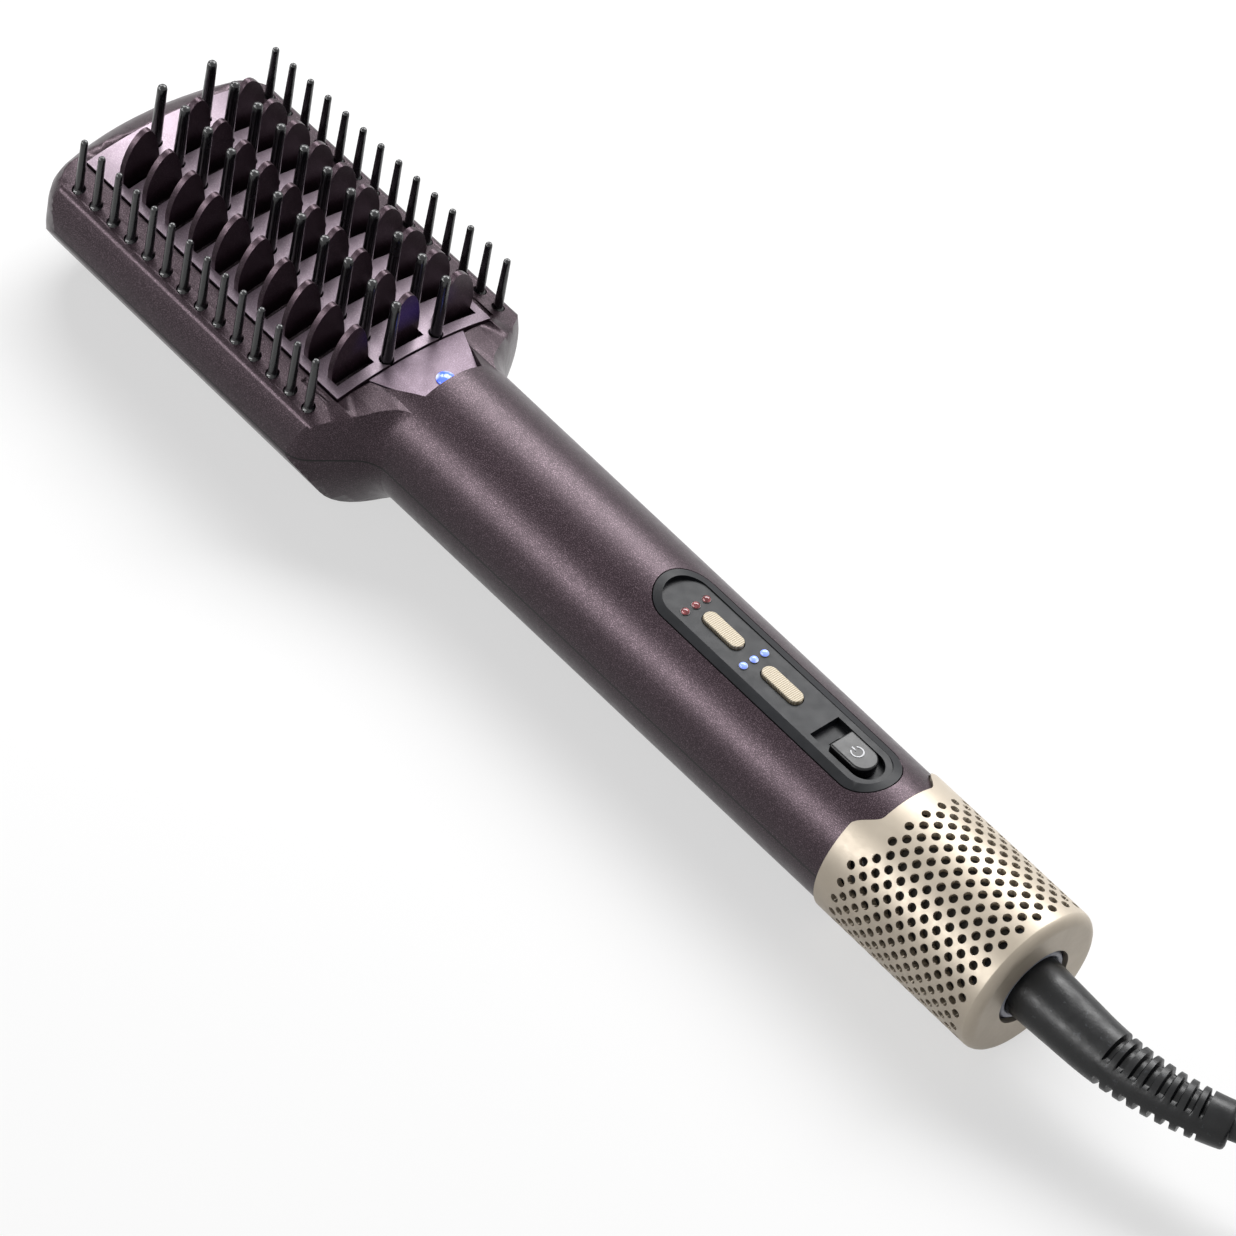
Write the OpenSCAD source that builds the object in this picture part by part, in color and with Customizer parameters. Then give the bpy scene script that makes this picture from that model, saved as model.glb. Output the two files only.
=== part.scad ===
// Hot air paddle brush, lying on its back with the bristles up.
// Millimetres. X runs from the head to the cord, Y across, Z up from the table.
// The handle's own axis is the line that most pieces are measured from.

/* [Overall] */
// Length from the front of the head to the rear face, without the cord
body_length = 336; // [326:1:350]
// Diameter of the handle where it meets the head
handle_front_d = 41.6; // [40.8:0.1:41.7]
// Diameter of the handle where it meets the rear cover
handle_rear_d = 40.2; // [39.8:0.1:41]
// Wall of the two housing halves
wall = 2; // [1.6:0.1:2.2]

/* [Head] */
// Length of the head, up to where the handle is round again
head_length = 126; // [124:1:132]
// Width of the head at its parting line
head_width = 75.2; // [74:0.2:80]
// Height of the deck's crown above the handle axis
deck_crown = 16.7; // [16.2:0.1:17.2]
// Radius of the deck's curve across the head
deck_r = 105; // [95:1:130]
// Half the width of the curved middle of the deck
deck_half = 25.5; // [25.4:0.1:26.5]
// Radius of the bowed front edge, seen from above
front_bow_r = 102; // [90:1:130]
// Radius of the two front corners, seen from above
front_corner_r = 14; // [13.5:0.5:16]
// Rounding of the front's top edge
front_top_r = 12.5; // [10:0.5:13]
// Rounding of the front's bottom edge
front_bottom_r = 18; // [14:1:20]
// Radius of the side wall above the parting line
side_r = 21.7; // [19:0.1:26]
// Rounding of the ridge along each side
ridge_r = 2.5; // [2.3:0.1:3.5]
// Rounding just below the parting line
keel_r = 4; // [3:0.5:5]
// Slope of the flanks below the parting line, from upright
flank_angle = 33; // [30:1:38]
// Rounding between the flanks and the flat belly
belly_r = 17.4; // [15:0.1:19]
// Radius of each rear corner of the head
shoulder_r = 8; // [6:0.5:9]
// Radius of the hollow between a rear corner and the handle
neck_r = 9; // [8:0.5:11]
// Steepness of the line between those two curves
neck_angle = 55; // [50:1:60]

/* [Fin plate] */
// Length of the plate that carries the fins
plate_length = 98.8; // [98:0.1:102]
// Width of that plate
plate_width = 50; // [49:0.2:50.4]
// Thickness of that plate
plate_t = 2.4; // [2:0.1:2.6]
// How far the plate stands above the deck
plate_proud = 0.9; // [0.6:0.1:1.2]
// Distance from the front of the head to the plate
plate_setback = 10.7; // [10:0.1:12]
// Fins in each of the three columns
fin_count = 10; // [6:1:10]
// Spacing of the fins along the head
fin_pitch = 9.1; // [8.6:0.05:9.2]
// Distance from the front of the plate to the first fin
fin_start = 10.9; // [10:0.1:11.5]
// Sideways spacing of the three columns
fin_column = 17; // [16:0.1:17.2]
// Width at the root of the fins in the two side columns
fin_w = 11.8; // [10:0.1:12]
// Width at the root of the fins in the middle column
fin_w_middle = 10; // [8:0.1:12]
// How far the tip of a side fin leans to the middle
fin_lean = 2.2; // [0:0.1:3]
// Height of the fins in the middle column
fin_h_middle = 14.5; // [10:0.1:18]
// Height of the fins in the two side columns
fin_h_side = 13.8; // [10:0.1:18]
// Thickness of a fin
fin_t = 1.6; // [1.2:0.1:2]
// Width of the air slot on the handle's side of a fin
air_slot_w = 2.2; // [1.6:0.1:2.6]

// Length of the two latch slots beside the plate
latch_slot_length = 9.5; // [8:0.5:12]
// Width of a latch slot
latch_slot_w = 1.6; // [1.2:0.1:1.8]
// Distance from a latch slot to the plate's rear end
latch_slot_at = 1.5; // [1:0.1:3]

/* [Bristles] */
// Bristles in each outer row
outer_count = 14; // [8:1:14]
// Spacing of the outer bristles
outer_pitch = 6.96; // [6.5:0.02:7]
// Distance from the front of the head to the first outer bristle
outer_start = 15.5; // [15:0.1:17]
// Distance of an outer row from the side of the head
outer_inset = 6.35; // [6.2:0.05:6.8]
// Length of an outer bristle above the deck
outer_length = 17; // [12:0.5:22]
// Diameter of an outer bristle at its root
outer_d = 2.5; // [1.6:0.1:2.6]
// Diameter of the collar round its root
outer_collar_d = 2.9; // [2.7:0.1:3.2]
// Bristles in each inner row
inner_count = 11; // [6:1:11]
// Spacing of the inner bristles
inner_pitch = 9.09; // [8.6:0.01:9.15]
// Distance from the front of the plate to the first inner bristle
inner_start = 6; // [5.5:0.1:6.5]
// Distance of an inner row from the middle
inner_y = 8.1; // [7.8:0.1:8.4]
// Length of an inner bristle above the plate
inner_length = 20; // [15:0.5:24]
// Diameter of an inner bristle at its root
inner_d = 3.2; // [2.2:0.1:3.3]
// Taper from a bristle's root to its tip, on the diameter
bristle_taper = 0.6; // [0:0.05:0.7]
// Clearance round a bristle in its hole
bristle_gap = 0.35; // [0.2:0.05:0.45]
// Thickness of the strip that carries a row of bristles
strip_t = 1.5; // [1.2:0.1:1.8]
// Width of that strip
strip_w = 3.8; // [3.4:0.1:4]

/* [Neck] */
// Width of the neck panel beside the fin plate
neck_panel_front_w = 31; // [29:0.5:33]
// Width of the neck panel at the lip of the handle
neck_panel_rear_w = 18; // [16:0.5:20]
// Thickness of the neck panel
neck_panel_t = 1.6; // [1.3:0.1:1.8]
// How far the neck panel stands above the deck
neck_panel_proud = 0.3; // [0.1:0.1:0.5]
// Diameter of the blue lens
lens_d = 4.6; // [4:0.1:5]
// Height of the lens's dome
lens_dome = 1.3; // [0.8:0.1:2]
// Diameter of the ion emitter under it
emitter_d = 4.8; // [4:0.1:6]

/* [Control panel] */
// Length of the dark panel
panel_length = 80.3; // [79:0.1:82]
// Width of the dark panel
panel_width = 17.4; // [17:0.1:18]
// Width of the rim round its sunken floor
panel_rim = 2.2; // [1.6:0.1:2.2]
// Height of the sunken floor above the handle axis
panel_floor = 19; // [18.8:0.05:19.2]
// Distance from the panel's rear end to the rear face of the brush
panel_back = 54.2; // [53.6:0.1:56]
// Distance from the panel's front end to the red lights
red_lights_at = 11.4; // [10:0.1:11.8]
// Distance from the panel's front end to the middle of the heat button
heat_button_at = 21.3; // [21:0.1:21.8]
// Distance from the panel's front end to the blue lights
blue_lights_at = 32.2; // [31.6:0.1:32.6]
// Distance from the panel's front end to the middle of the speed button
speed_button_at = 42.2; // [41.6:0.1:43]
// Spacing of the three lights in a row
light_pitch = 3.5; // [3:0.1:4]
// Diameter of a light
light_d = 2.2; // [1.8:0.1:2.4]
// Length of a button
button_length = 13; // [11:0.1:13.2]
// Width of a button
button_width = 4.2; // [3.6:0.1:4.8]
// Height of a button above the sunken floor
button_proud = 0.9; // [0.4:0.1:1.2]
// Travel of a button
button_travel = 0.7; // [0.4:0.1:0.8]
// Distance from the panel's front end to the switch recess
recess_at = 57; // [56:0.1:57.6]
// Length of the switch recess
recess_length = 19.3; // [19:0.1:20]
// Width of the switch recess
recess_width = 9.4; // [9:0.1:10]
// Length of the switch knob
knob_length = 11.5; // [11:0.1:12]
// Width of the switch knob
knob_width = 7.6; // [7:0.1:8]
// Height of the knob's top above the sunken floor
knob_proud = 1.2; // [0.6:0.1:1.5]
// Distance from the knob to the recess's rear end, switched off
knob_back = 2.3; // [2:0.1:2.6]
// Travel of the knob toward the head
knob_travel = 4.8; // [3:0.1:5]

/* [Rear cover] */
// Outside diameter of the perforated cover, which the brush lies on
cover_d = 41.8; // [41.8:0.1:43]
// Wall of the cover
cover_wall = 1.6; // [1.4:0.1:1.8]
// Length of the cover
cover_length = 53.4; // [52.6:0.1:54]
// Rounding of the cover's rear edge
cover_edge_r = 3; // [2:0.1:3.5]
// Bore in the cover's rear wall
cover_bore = 22.2; // [21.6:0.1:23]
// Diameter of a hole
hole_d = 2.3; // [1.5:0.05:2.4]
// Holes in each ring
holes_round = 24; // [12:1:24]
// Spacing of neighbouring rings, which are staggered
ring_pitch = 2.08; // [2:0.02:2.6]
// Distance from the rear face to the last ring
ring_back = 5.2; // [5:0.1:7]
// Solid margin between the seam and the first hole
ring_margin = 4.4; // [4:0.1:8]
// Length of the handle's tongue over the cover
tongue_length = 5; // [3:0.1:6]
// Width of that tongue at its end
tongue_width = 15; // [12:0.5:17]
// How far the cover draws back
cover_travel = 42; // [20:1:42]

/* [Fan and heater] */
// Diameter of the motor
motor_d = 19.6; // [16:0.2:20]
// Length of the motor
motor_length = 25; // [20:0.5:28]
// Diameter of the motor shaft
shaft_d = 2; // [1.5:0.1:3]
// Diameter of the fan wheel over its blades
fan_d = 31; // [28:0.1:31.4]
// Length of the fan wheel
fan_length = 8; // [6:0.1:9]
// Blades on the fan wheel
blade_count = 7; // [5:1:9]
// Distance of the heater's shield from the neck
shield_from_neck = 7; // [6:0.5:12]
// Turns of heating wire
heater_turns = 9; // [5:1:10]
// Diameter of the wound heating wire
heater_wire_d = 1; // [0.8:0.1:1.4]

/* [Cord] */
// Diameter of the cord
cord_d = 6.6; // [6:0.1:6.8]
// Diameter of the turning collar in the rear face
collar_d = 19.5; // [18:0.1:20.4]
// Diameter of the strain relief at the collar
boot_base_d = 17; // [13:0.1:17.2]
// Diameter of the strain relief at its tip
boot_tip_d = 12; // [9.5:0.1:12.2]
// Whole length of the strain relief
boot_length = 60; // [58:0.5:60]
// Length of its smooth part
boot_smooth = 27.8; // [25:0.1:29]
// Length of its straight part
boot_straight = 19.7; // [19:0.1:21]
// Radius of its bend
boot_bend_r = 82; // [80:1:100]
// Spacing of its grooves
boot_pitch = 3.5; // [3:0.1:4]
// Depth of its grooves
boot_groove = 1.2; // [0.8:0.1:1.5]
// Radius of the coil's innermost turn
coil_r = 26.6; // [26.6:0.1:30]
// Turns in the coil
coil_turns = 7; // [5:2:7]
// Radius of the cord's last bend, on top of the coil
lead_r = 38; // [36:1:42]
// Height of the plug, which lies on the coil
plug_h = 21; // [20:0.5:24]
// Thickness of the tie round the coil
tie_t = 0.8; // [0.6:0.1:1]
// Width of the tie
tie_w = 10; // [6:0.5:14]

/* [Hidden] */

$fn = 48;

// Clearances between pieces
gap = 0.3;
fit = 0.05;
slip = 0.1;
eps = 0.01;
big = 200;

// Stations along the brush
front_x = -body_length / 2;
rear_x = body_length / 2;
neck_x = front_x + head_length;
axis_z = cover_d / 2;
seam_x = rear_x - cover_length - gap;
plate_x0 = front_x + plate_setback;
plate_x1 = plate_x0 + plate_length;
lip_x = neck_x - 2.5;
lip_wall = 1.5;
panel_x1 = rear_x - panel_back;
panel_x0 = panel_x1 - panel_length;

// The handle is a plain cone between the neck and the seam
front_r = handle_front_d / 2;
rear_r = handle_rear_d / 2;
handle_slope = (front_r - rear_r) / (seam_x - neck_x);
bore_r = rear_r - wall;

function smooth(u) = u <= 0 ? 0 : u >= 1 ? 1 : u * u * (3 - 2 * u);
function handle_r(x) = front_r - handle_slope * (x - neck_x);
function arc(cx, cy, r, a0, a1, n) =
  [for (i = [0:n]) [cx + r * cos(a0 + (a1 - a0) * i / n), cy + r * sin(a0 + (a1 - a0) * i / n)]];
function mirrored(points) = [for (i = [len(points) - 1:-1:1]) [-points[i][0], points[i][1]]];

// Half of the head's section: deck, ridge, side wall, keel, flank and flat belly
half_w = head_width / 2;
outer_y = half_w - outer_inset;
deck_a = asin(deck_half / deck_r);
deck_c = deck_crown - deck_r;
side_c = half_w - side_r;
ridge_from = [
  (deck_r - ridge_r) * sin(deck_a) - side_c,
  deck_c + (deck_r - ridge_r) * cos(deck_a)
];
ridge_b = ridge_from[0] * cos(deck_a) - ridge_from[1] * sin(deck_a);
ridge_s = sqrt(ridge_b * ridge_b - ridge_from * ridge_from + pow(side_r - ridge_r, 2)) - ridge_b;
ridge_y = side_c + ridge_from[0] + ridge_s * cos(deck_a);
ridge_z = ridge_from[1] - ridge_s * sin(deck_a);
ridge_a = atan2(ridge_z, ridge_y - side_c);
keel_c = half_w - keel_r;
belly_z = belly_r - axis_z;
belly_y = (keel_c * cos(flank_angle) + keel_r - belly_r + belly_z * sin(flank_angle))
  / cos(flank_angle);

function half_section(t) = concat(
  arc(0, deck_c, deck_r - t, 90, 90 - deck_a, 5),
  arc(ridge_y, ridge_z, ridge_r - t, 90 - deck_a, ridge_a, 4),
  arc(side_c, 0, side_r - t, ridge_a * 0.8, 0, 5),
  arc(keel_c, 0, keel_r - t, -flank_angle / 3, -flank_angle, 2),
  arc(belly_y, belly_z, belly_r - t, -flank_angle, -90, 6)
);
function section(t) = concat(half_section(t), mirrored(half_section(t)));

// Outline of the head's front from above, bowed and with round corners
corner_y = half_w - front_corner_r;
corner_x = front_x + front_bow_r - sqrt(pow(front_bow_r - front_corner_r, 2) - corner_y * corner_y);
corner_a = atan2(corner_y, corner_x - front_x - front_bow_r);
corner_core = 0.5;

// The front's rounded profile, whose wall is at the radius r
function rim_profile(r, t, top, last) = concat(
  [[r - front_top_r, top]],
  arc(r - front_top_r, deck_crown - front_top_r, front_top_r + slip - t, 90, 0, 6),
  arc(r - front_bottom_r, front_bottom_r - axis_z, front_bottom_r + slip - t, 0, -last, 7)
);

// Radius of the neck round the handle axis, from the head's width down to the handle
turn_out = (shoulder_r + neck_r) * sin(neck_angle);
turn_in = (shoulder_r + neck_r) * (1 - cos(neck_angle));
shoulder_x = neck_x - turn_out - (half_w - front_r - turn_in) / tan(neck_angle);

function neck_profile(t) = concat(
  [[shoulder_x - big, 0], [shoulder_x - big, half_w + 4], [shoulder_x, half_w + 4]],
  arc(shoulder_x, half_w - shoulder_r, shoulder_r + slip - t, 90, 90 - neck_angle, 5),
  arc(neck_x, front_r + neck_r, neck_r + fit + t, 270 - neck_angle, 270, 5),
  [[neck_x, 0]]
);

// Turns what was drawn along Z so that it runs along X
module facing_x() {
  rotate([90, 0, 90])
    children();
}

module along_x(x = 0) {
  translate([x, 0, axis_z])
    facing_x()
      children();
}

// Places children measured from the handle axis
module from_axis(x = 0, y = 0, z = 0) {
  translate([x, y, axis_z + z])
    children();
}

module disc_x(x0, x1, r) {
  along_x(x0)
    cylinder(h = x1 - x0, r = r);
}

module tube_x(x0, x1, r_out, r_in) {
  difference() {
    disc_x(x0, x1, r_out);
    disc_x(x0 - 1, x1 + 1, r_in);
  }
}

module cone_x(x0, x1, t = 0) {
  along_x(x0)
    cylinder(h = x1 - x0, r1 = handle_r(x0) - t, r2 = handle_r(x1) - t);
}

module stadium(x0, x1, w, z0, z1) {
  from_axis(0, 0, z0)
    linear_extrude(z1 - z0) {
      translate([x0 + w / 2, 0])
        circle(d = w);
      translate([x1 - w / 2, 0])
        circle(d = w);
      translate([x0 + w / 2, -w / 2])
        square([x1 - x0 - w, w]);
    }
}

module box(x0, x1, w, z0, z1, y = 0) {
  from_axis(x0, y - w / 2, z0)
    cube([x1 - x0, w, z1 - z0]);
}

// A strip that follows the deck's curve between two angles
module deck_band(x0, x1, r0, r1, a0, a1, n = 6) {
  along_x(x0)
    linear_extrude(x1 - x0)
      polygon(concat(
        arc(0, deck_c, r1, 90 - a0, 90 - a1, n),
        arc(0, deck_c, r0, 90 - a1, 90 - a0, n)
      ));
}

function across(y) = asin(y / deck_r);

// The bow and the corners, which carry one profile round the front, and the room behind them
module front_body(t) {
  bow_in = front_bow_r - head_length / 2;
  bow_floor = t - slip - axis_z;
  corner_last = min(
    90, acos((front_bottom_r - front_corner_r + corner_core) / (front_bottom_r + slip - t))
  );
  corner_floor = front_bottom_r - axis_z - (front_bottom_r + slip - t) * sin(corner_last);
  intersection() {
    from_axis(front_x + front_bow_r)
      rotate_extrude()
        polygon(concat(
          [[bow_in, 2 * deck_crown]],
          rim_profile(front_bow_r, t, 2 * deck_crown, 90),
          [[bow_in, bow_floor]]
        ));
    from_axis(front_x + front_bow_r)
      linear_extrude(big, center = true)
        polygon([
          [0, 0], 2 * front_bow_r * [cos(corner_a), sin(corner_a)],
          [-2 * front_bow_r, 0], 2 * front_bow_r * [cos(corner_a), -sin(corner_a)]
        ]);
  }
  for (side = [-1, 1])
    from_axis(corner_x, side * corner_y)
      rotate_extrude()
        polygon(concat(
          [[0, 3 * deck_crown]],
          rim_profile(front_corner_r + fit, t, 3 * deck_crown, corner_last),
          [[0, corner_floor]]
        ));
  box(corner_x, big, big, -big, big);
}

// The head as a solid, drawn in by t
module head_body(t = 0) {
  intersection() {
    along_x(front_x - 1)
      linear_extrude(head_length + 1)
        polygon(section(t));
    front_body(t);
    from_axis()
      rotate([0, 90, 0])
        rotate_extrude()
          polygon([for (p = neck_profile(t)) [p[1], p[0]]]);
  }
}

// Whole outer shape of the housing, before it is hollowed and split
module housing_shape() {
  head_body();
  cone_x(neck_x - 14, seam_x);
}

module housing_hollow() {
  head_body(wall);
  cone_x(neck_x - eps, seam_x + 1, wall);
}

tongue_flare = 6;

// Levels on the deck's curve, as radii about its centre
plate_top = deck_r + plate_proud;
plate_under = plate_top - plate_t;
neck_top = deck_r + neck_panel_proud;
neck_under = neck_top - neck_panel_t;
ledge_t = 1.6;
ledge_w = 2;
plate_half = plate_width / 2;

// Where each pattern begins
outer_x0 = front_x + outer_start;
inner_x0 = plate_x0 + inner_start;
fin_x0 = plate_x0 + fin_start;
deck_edge_z = deck_crown - (deck_r - deck_r * cos(deck_a));
outer_z = deck_edge_z - (outer_y - deck_half) * tan(deck_a);
inner_z = deck_c + sqrt(plate_top * plate_top - inner_y * inner_y);
outer_hole_d = outer_collar_d + 2 * bristle_gap;
inner_hole_d = inner_d + 2 * bristle_gap;

module upper_half() {
  intersection() {
    difference() {
      housing_shape();
      housing_hollow();
    }
    box(front_x - 1, rear_x, big, 0, big);
  }
}

// The tongue's edge runs from the seam to the tongue's end in an S
module tongue_outline(grow = 0) {
  steps = 8;
  flank = [
    for (i = [0:steps])
      [
        seam_x + grow - slip + (tongue_length + slip) * smooth(i / steps),
        tongue_width / 2 + grow + tongue_flare * (1 - i / steps)
      ]
  ];
  linear_extrude(big)
    polygon(concat(
      [[seam_x - 3, flank[0][1]]],
      flank,
      [for (i = [steps:-1:0]) [flank[i][0], -flank[i][1]]],
      [[seam_x - 3, -flank[0][1]]]
    ));
}

module tongue() {
  intersection() {
    tube_x(seam_x - 2, seam_x + tongue_length + 1, handle_r(seam_x), bore_r + slip);
    translate([0, 0, axis_z])
      tongue_outline();
  }
}

latch_slot_y = plate_half + gap + 0.8 + latch_slot_w / 2;
lens_x = lip_x - gap - lens_d / 2;
needle_hole_d = 2;

module plate_ledges() {
  inner_a = across(plate_half - ledge_w);
  outer_a = across(plate_half + ledge_w);
  for (side = [-1, 1])
    deck_band(
      plate_x0 - ledge_w, plate_x1,
      plate_under - ledge_t, plate_under, side * inner_a, side * outer_a, 2
    );
  deck_band(
    plate_x0 - ledge_w, plate_x0 + ledge_w,
    plate_under - ledge_t, plate_under, -inner_a, inner_a, 8
  );
}

module plate_opening() {
  edge_a = across(plate_half + gap);
  deck_band(plate_x0 - gap, plate_x1 + gap, plate_under, deck_r + 9, -edge_a, edge_a, 10);
  box(plate_x0 + ledge_w, plate_x1 + gap, plate_width - 2 * ledge_w, 0, big);
  for (side = [-1, 1])
    box(
      plate_x1 - latch_slot_at - latch_slot_length, plate_x1 - latch_slot_at, latch_slot_w,
      deck_edge_z - 1.2, big, side * latch_slot_y
    );
}

module outer_holes() {
  for (side = [-1, 1], i = [0:outer_count - 1])
    from_axis(outer_x0 + i * outer_pitch, side * outer_y, outer_z - 5)
      cylinder(h = 10, d = outer_hole_d);
}

module neck_outline(grow) {
  front = neck_panel_front_w / 2 + grow;
  rear = neck_panel_rear_w / 2 + grow;
  linear_extrude(big)
    polygon([
      [plate_x1 + gap - grow, -front], [lip_x - gap + grow, -rear],
      [lip_x - gap + grow, rear], [plate_x1 + gap - grow, front]
    ]);
}

neck_a = across(neck_panel_front_w / 2 + 2);

module neck_pocket() {
  intersection() {
    deck_band(plate_x1, lip_x, neck_under, deck_r + 9, -neck_a, neck_a, 8);
    neck_outline(gap);
  }
  from_axis(lens_x, 0, 0)
    cylinder(h = big, d = needle_hole_d);
}

// Levels in the control panel above the handle axis
panel_seat = panel_floor - 1.4;
panel_under = panel_floor - 3;
panel_lip = 1.5;
board_top = panel_under - 3.8;
board_t = 1.6;
board_w = 26;
board_x0 = panel_x0 + 4.5;
board_x1 = panel_x1 - 5.8;
rail_w = 2;
rail_t = 1.4;

module panel_pocket() {
  stadium(panel_x0 - gap, panel_x1 + gap, panel_width + 2 * gap, panel_seat, big);
  stadium(panel_x0 + panel_lip, panel_x1 - panel_lip, panel_width - 2 * panel_lip, 0, big);
}

module board_rails() {
  intersection() {
    for (side = [-1, 1])
      box(
        board_x0, board_x1, bore_r - board_w / 2 + rail_w,
        board_top - board_t - rail_t, board_top - board_t,
        side * (board_w / 2 - rail_w + bore_r) / 2
      );
    cone_x(board_x0 - 1, board_x1 + 1, wall / 2);
  }
}

// Upper half of the casing: deck, neck and the top of the handle
module upper_housing() {
  color("#4a2c3a")
    difference() {
      union() {
        upper_half();
        tongue();
        plate_ledges();
        board_rails();
      }
      plate_opening();
      outer_holes();
      neck_pocket();
      panel_pocket();
    }
}

// Lower half of the casing: keel, belly and the underside of the handle
module lower_housing() {
  color("#43303a")
    difference() {
      housing_shape();
      housing_hollow();
      box(front_x - 1, rear_x, big, 0, big);
    }
}

// One fin, whose tip leans to the middle: a long slope outside, a steep edge inside
module fin(w, h, lean) {
  steps = 9;
  bend = abs(lean) / 10;
  side = lean < 0 ? -1 : 1;
  slope = [
    for (i = [0:steps])
      [lean - side * (w / 2 + abs(lean)) * pow(cos(90 * i / steps), 1 + bend), h * sin(90 * i / steps)]
  ];
  steep = [
    for (i = [steps - 1:-1:0])
      [lean + side * (w / 2 - abs(lean)) * pow(cos(90 * i / steps), 1 - bend), h * sin(90 * i / steps)]
  ];
  translate([-fin_t / 2, 0, 0])
    facing_x()
      linear_extrude(fin_t)
        polygon(concat([[-side * w / 2, -1]], slope, steep, [[side * w / 2, -1]]));
}

function fin_width(column) = column == 0 ? fin_w_middle : fin_w;
function fin_height(column) = column == 0 ? fin_h_middle : fin_h_side;

module on_plate(y) {
  from_axis(0, 0, deck_c)
    rotate([-asin(y / plate_top), 0, 0])
      translate([0, 0, plate_top])
        children();
}

// Plate with three columns of fins, an air slot by each, and the inner bristles' holes
module fin_plate() {
  edge_a = across(plate_half);
  color("#6b4f5f") {
    difference() {
      union() {
        deck_band(plate_x0, plate_x1, plate_under, plate_top, -edge_a, edge_a, 16);
        for (i = [0:fin_count - 1], column = [-1, 0, 1])
          on_plate(column * fin_column)
            translate([fin_x0 + i * fin_pitch, 0, 0])
              fin(fin_width(column), fin_height(column), -column * fin_lean);
      }
      for (i = [0:fin_count - 1], column = [-1, 0, 1])
        on_plate(column * fin_column)
          translate([fin_x0 + i * fin_pitch + fin_t / 2, -fin_width(column) / 2, -plate_t - 1])
            cube([air_slot_w, fin_width(column), plate_t + 2]);
      for (i = [0:inner_count - 1], side = [-1, 1])
        from_axis(inner_x0 + i * inner_pitch, side * inner_y, 0)
          cylinder(h = inner_z + 2, d = inner_hole_d, $fn = 24);
    }
  }
}

// A bristle from its strip to its rounded tip
module bristle(root, length, d, collar_d) {
  tip_r = (d - bristle_taper) / 2;
  rotate_extrude($fn = 24)
    polygon(concat(
      [[0, 0], [collar_d / 2, 0], [collar_d / 2, root], [d / 2, root]],
      [[tip_r, root + length - tip_r]],
      arc(0, root + length - tip_r, tip_r, 30, 90, 2)
    ));
}

module outer_bristles(side) {
  strip_x0 = outer_x0 - strip_w / 2;
  strip_x1 = outer_x0 + (outer_count - 1) * outer_pitch + strip_w / 2;
  under = wall + strip_t / 2;
  color("#1c1b1e") {
    from_axis(strip_x0, side * outer_y, outer_z)
      rotate([-side * deck_a, 0, 0])
        translate([0, -strip_w / 2, -wall - strip_t])
          cube([strip_x1 - strip_x0, strip_w, strip_t]);
    for (i = [0:outer_count - 1])
      from_axis(outer_x0 + i * outer_pitch, side * outer_y, outer_z - under)
        bristle(under - gap, outer_length + gap, outer_d, outer_collar_d);
  }
}

// Fourteen slim bristles along the near side
module near_outer_bristles() {
  outer_bristles(-1);
}

// Fourteen slim bristles along the far side
module far_outer_bristles() {
  outer_bristles(1);
}

module inner_bristles(side) {
  strip_x0 = inner_x0 - strip_w / 2;
  strip_x1 = inner_x0 + (inner_count - 1) * inner_pitch + strip_w / 2;
  root = plate_t + strip_t / 2;
  color("#18181b") {
    on_plate(side * inner_y)
      translate([strip_x0, -strip_w / 2, -plate_t - strip_t - fit])
        cube([strip_x1 - strip_x0, strip_w, strip_t]);
    for (i = [0:inner_count - 1])
      from_axis(inner_x0 + i * inner_pitch, side * inner_y, inner_z - root)
        bristle(root, inner_length, inner_d, inner_d);
  }
}

// Eleven stout bristles in the near inner row
module near_inner_bristles() {
  inner_bristles(-1);
}

// Eleven stout bristles in the far inner row
module far_inner_bristles() {
  inner_bristles(1);
}

// Sunken panel between the fin plate and the handle
module neck_panel() {
  color("#8f7c8d")
    difference() {
      intersection() {
        deck_band(plate_x1 + gap, lip_x, neck_under, neck_top, -neck_a, neck_a, 8);
        neck_outline(0);
      }
      from_axis(lens_x)
        linear_extrude(big) {
          circle(d = lens_d);
          translate([0, -lens_d / 2])
            square(lens_d);
        }
    }
}

// Blue lens in the notch of the neck panel
module ion_lens() {
  lens_z = deck_c + neck_under;
  color("#4a6cff")
    from_axis(lens_x, 0, lens_z)
      rotate_extrude()
        polygon(concat(
          [[needle_hole_d / 2, 0], [lens_d / 2, 0]],
          [for (a = [0:15:75]) [lens_d / 2 * cos(a), neck_panel_t + lens_dome * sin(a)]],
          [[0, neck_panel_t + lens_dome]],
          [[0, neck_panel_t / 2], [needle_hole_d / 2, neck_panel_t / 2]]
        ));
}

// Ion emitter under the lens, with its needle
module ion_emitter() {
  top = deck_c + deck_r - wall - slip;
  needle_r = 0.35;
  color("#d8d8d2")
    from_axis(lens_x, 0, top - 5)
      rotate_extrude()
        polygon([
          [0, 0], [emitter_d / 2, 0], [emitter_d / 2, 5],
          [needle_r, 5], [needle_r, 5.8], [0, 6.1]
        ]);
}

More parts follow.
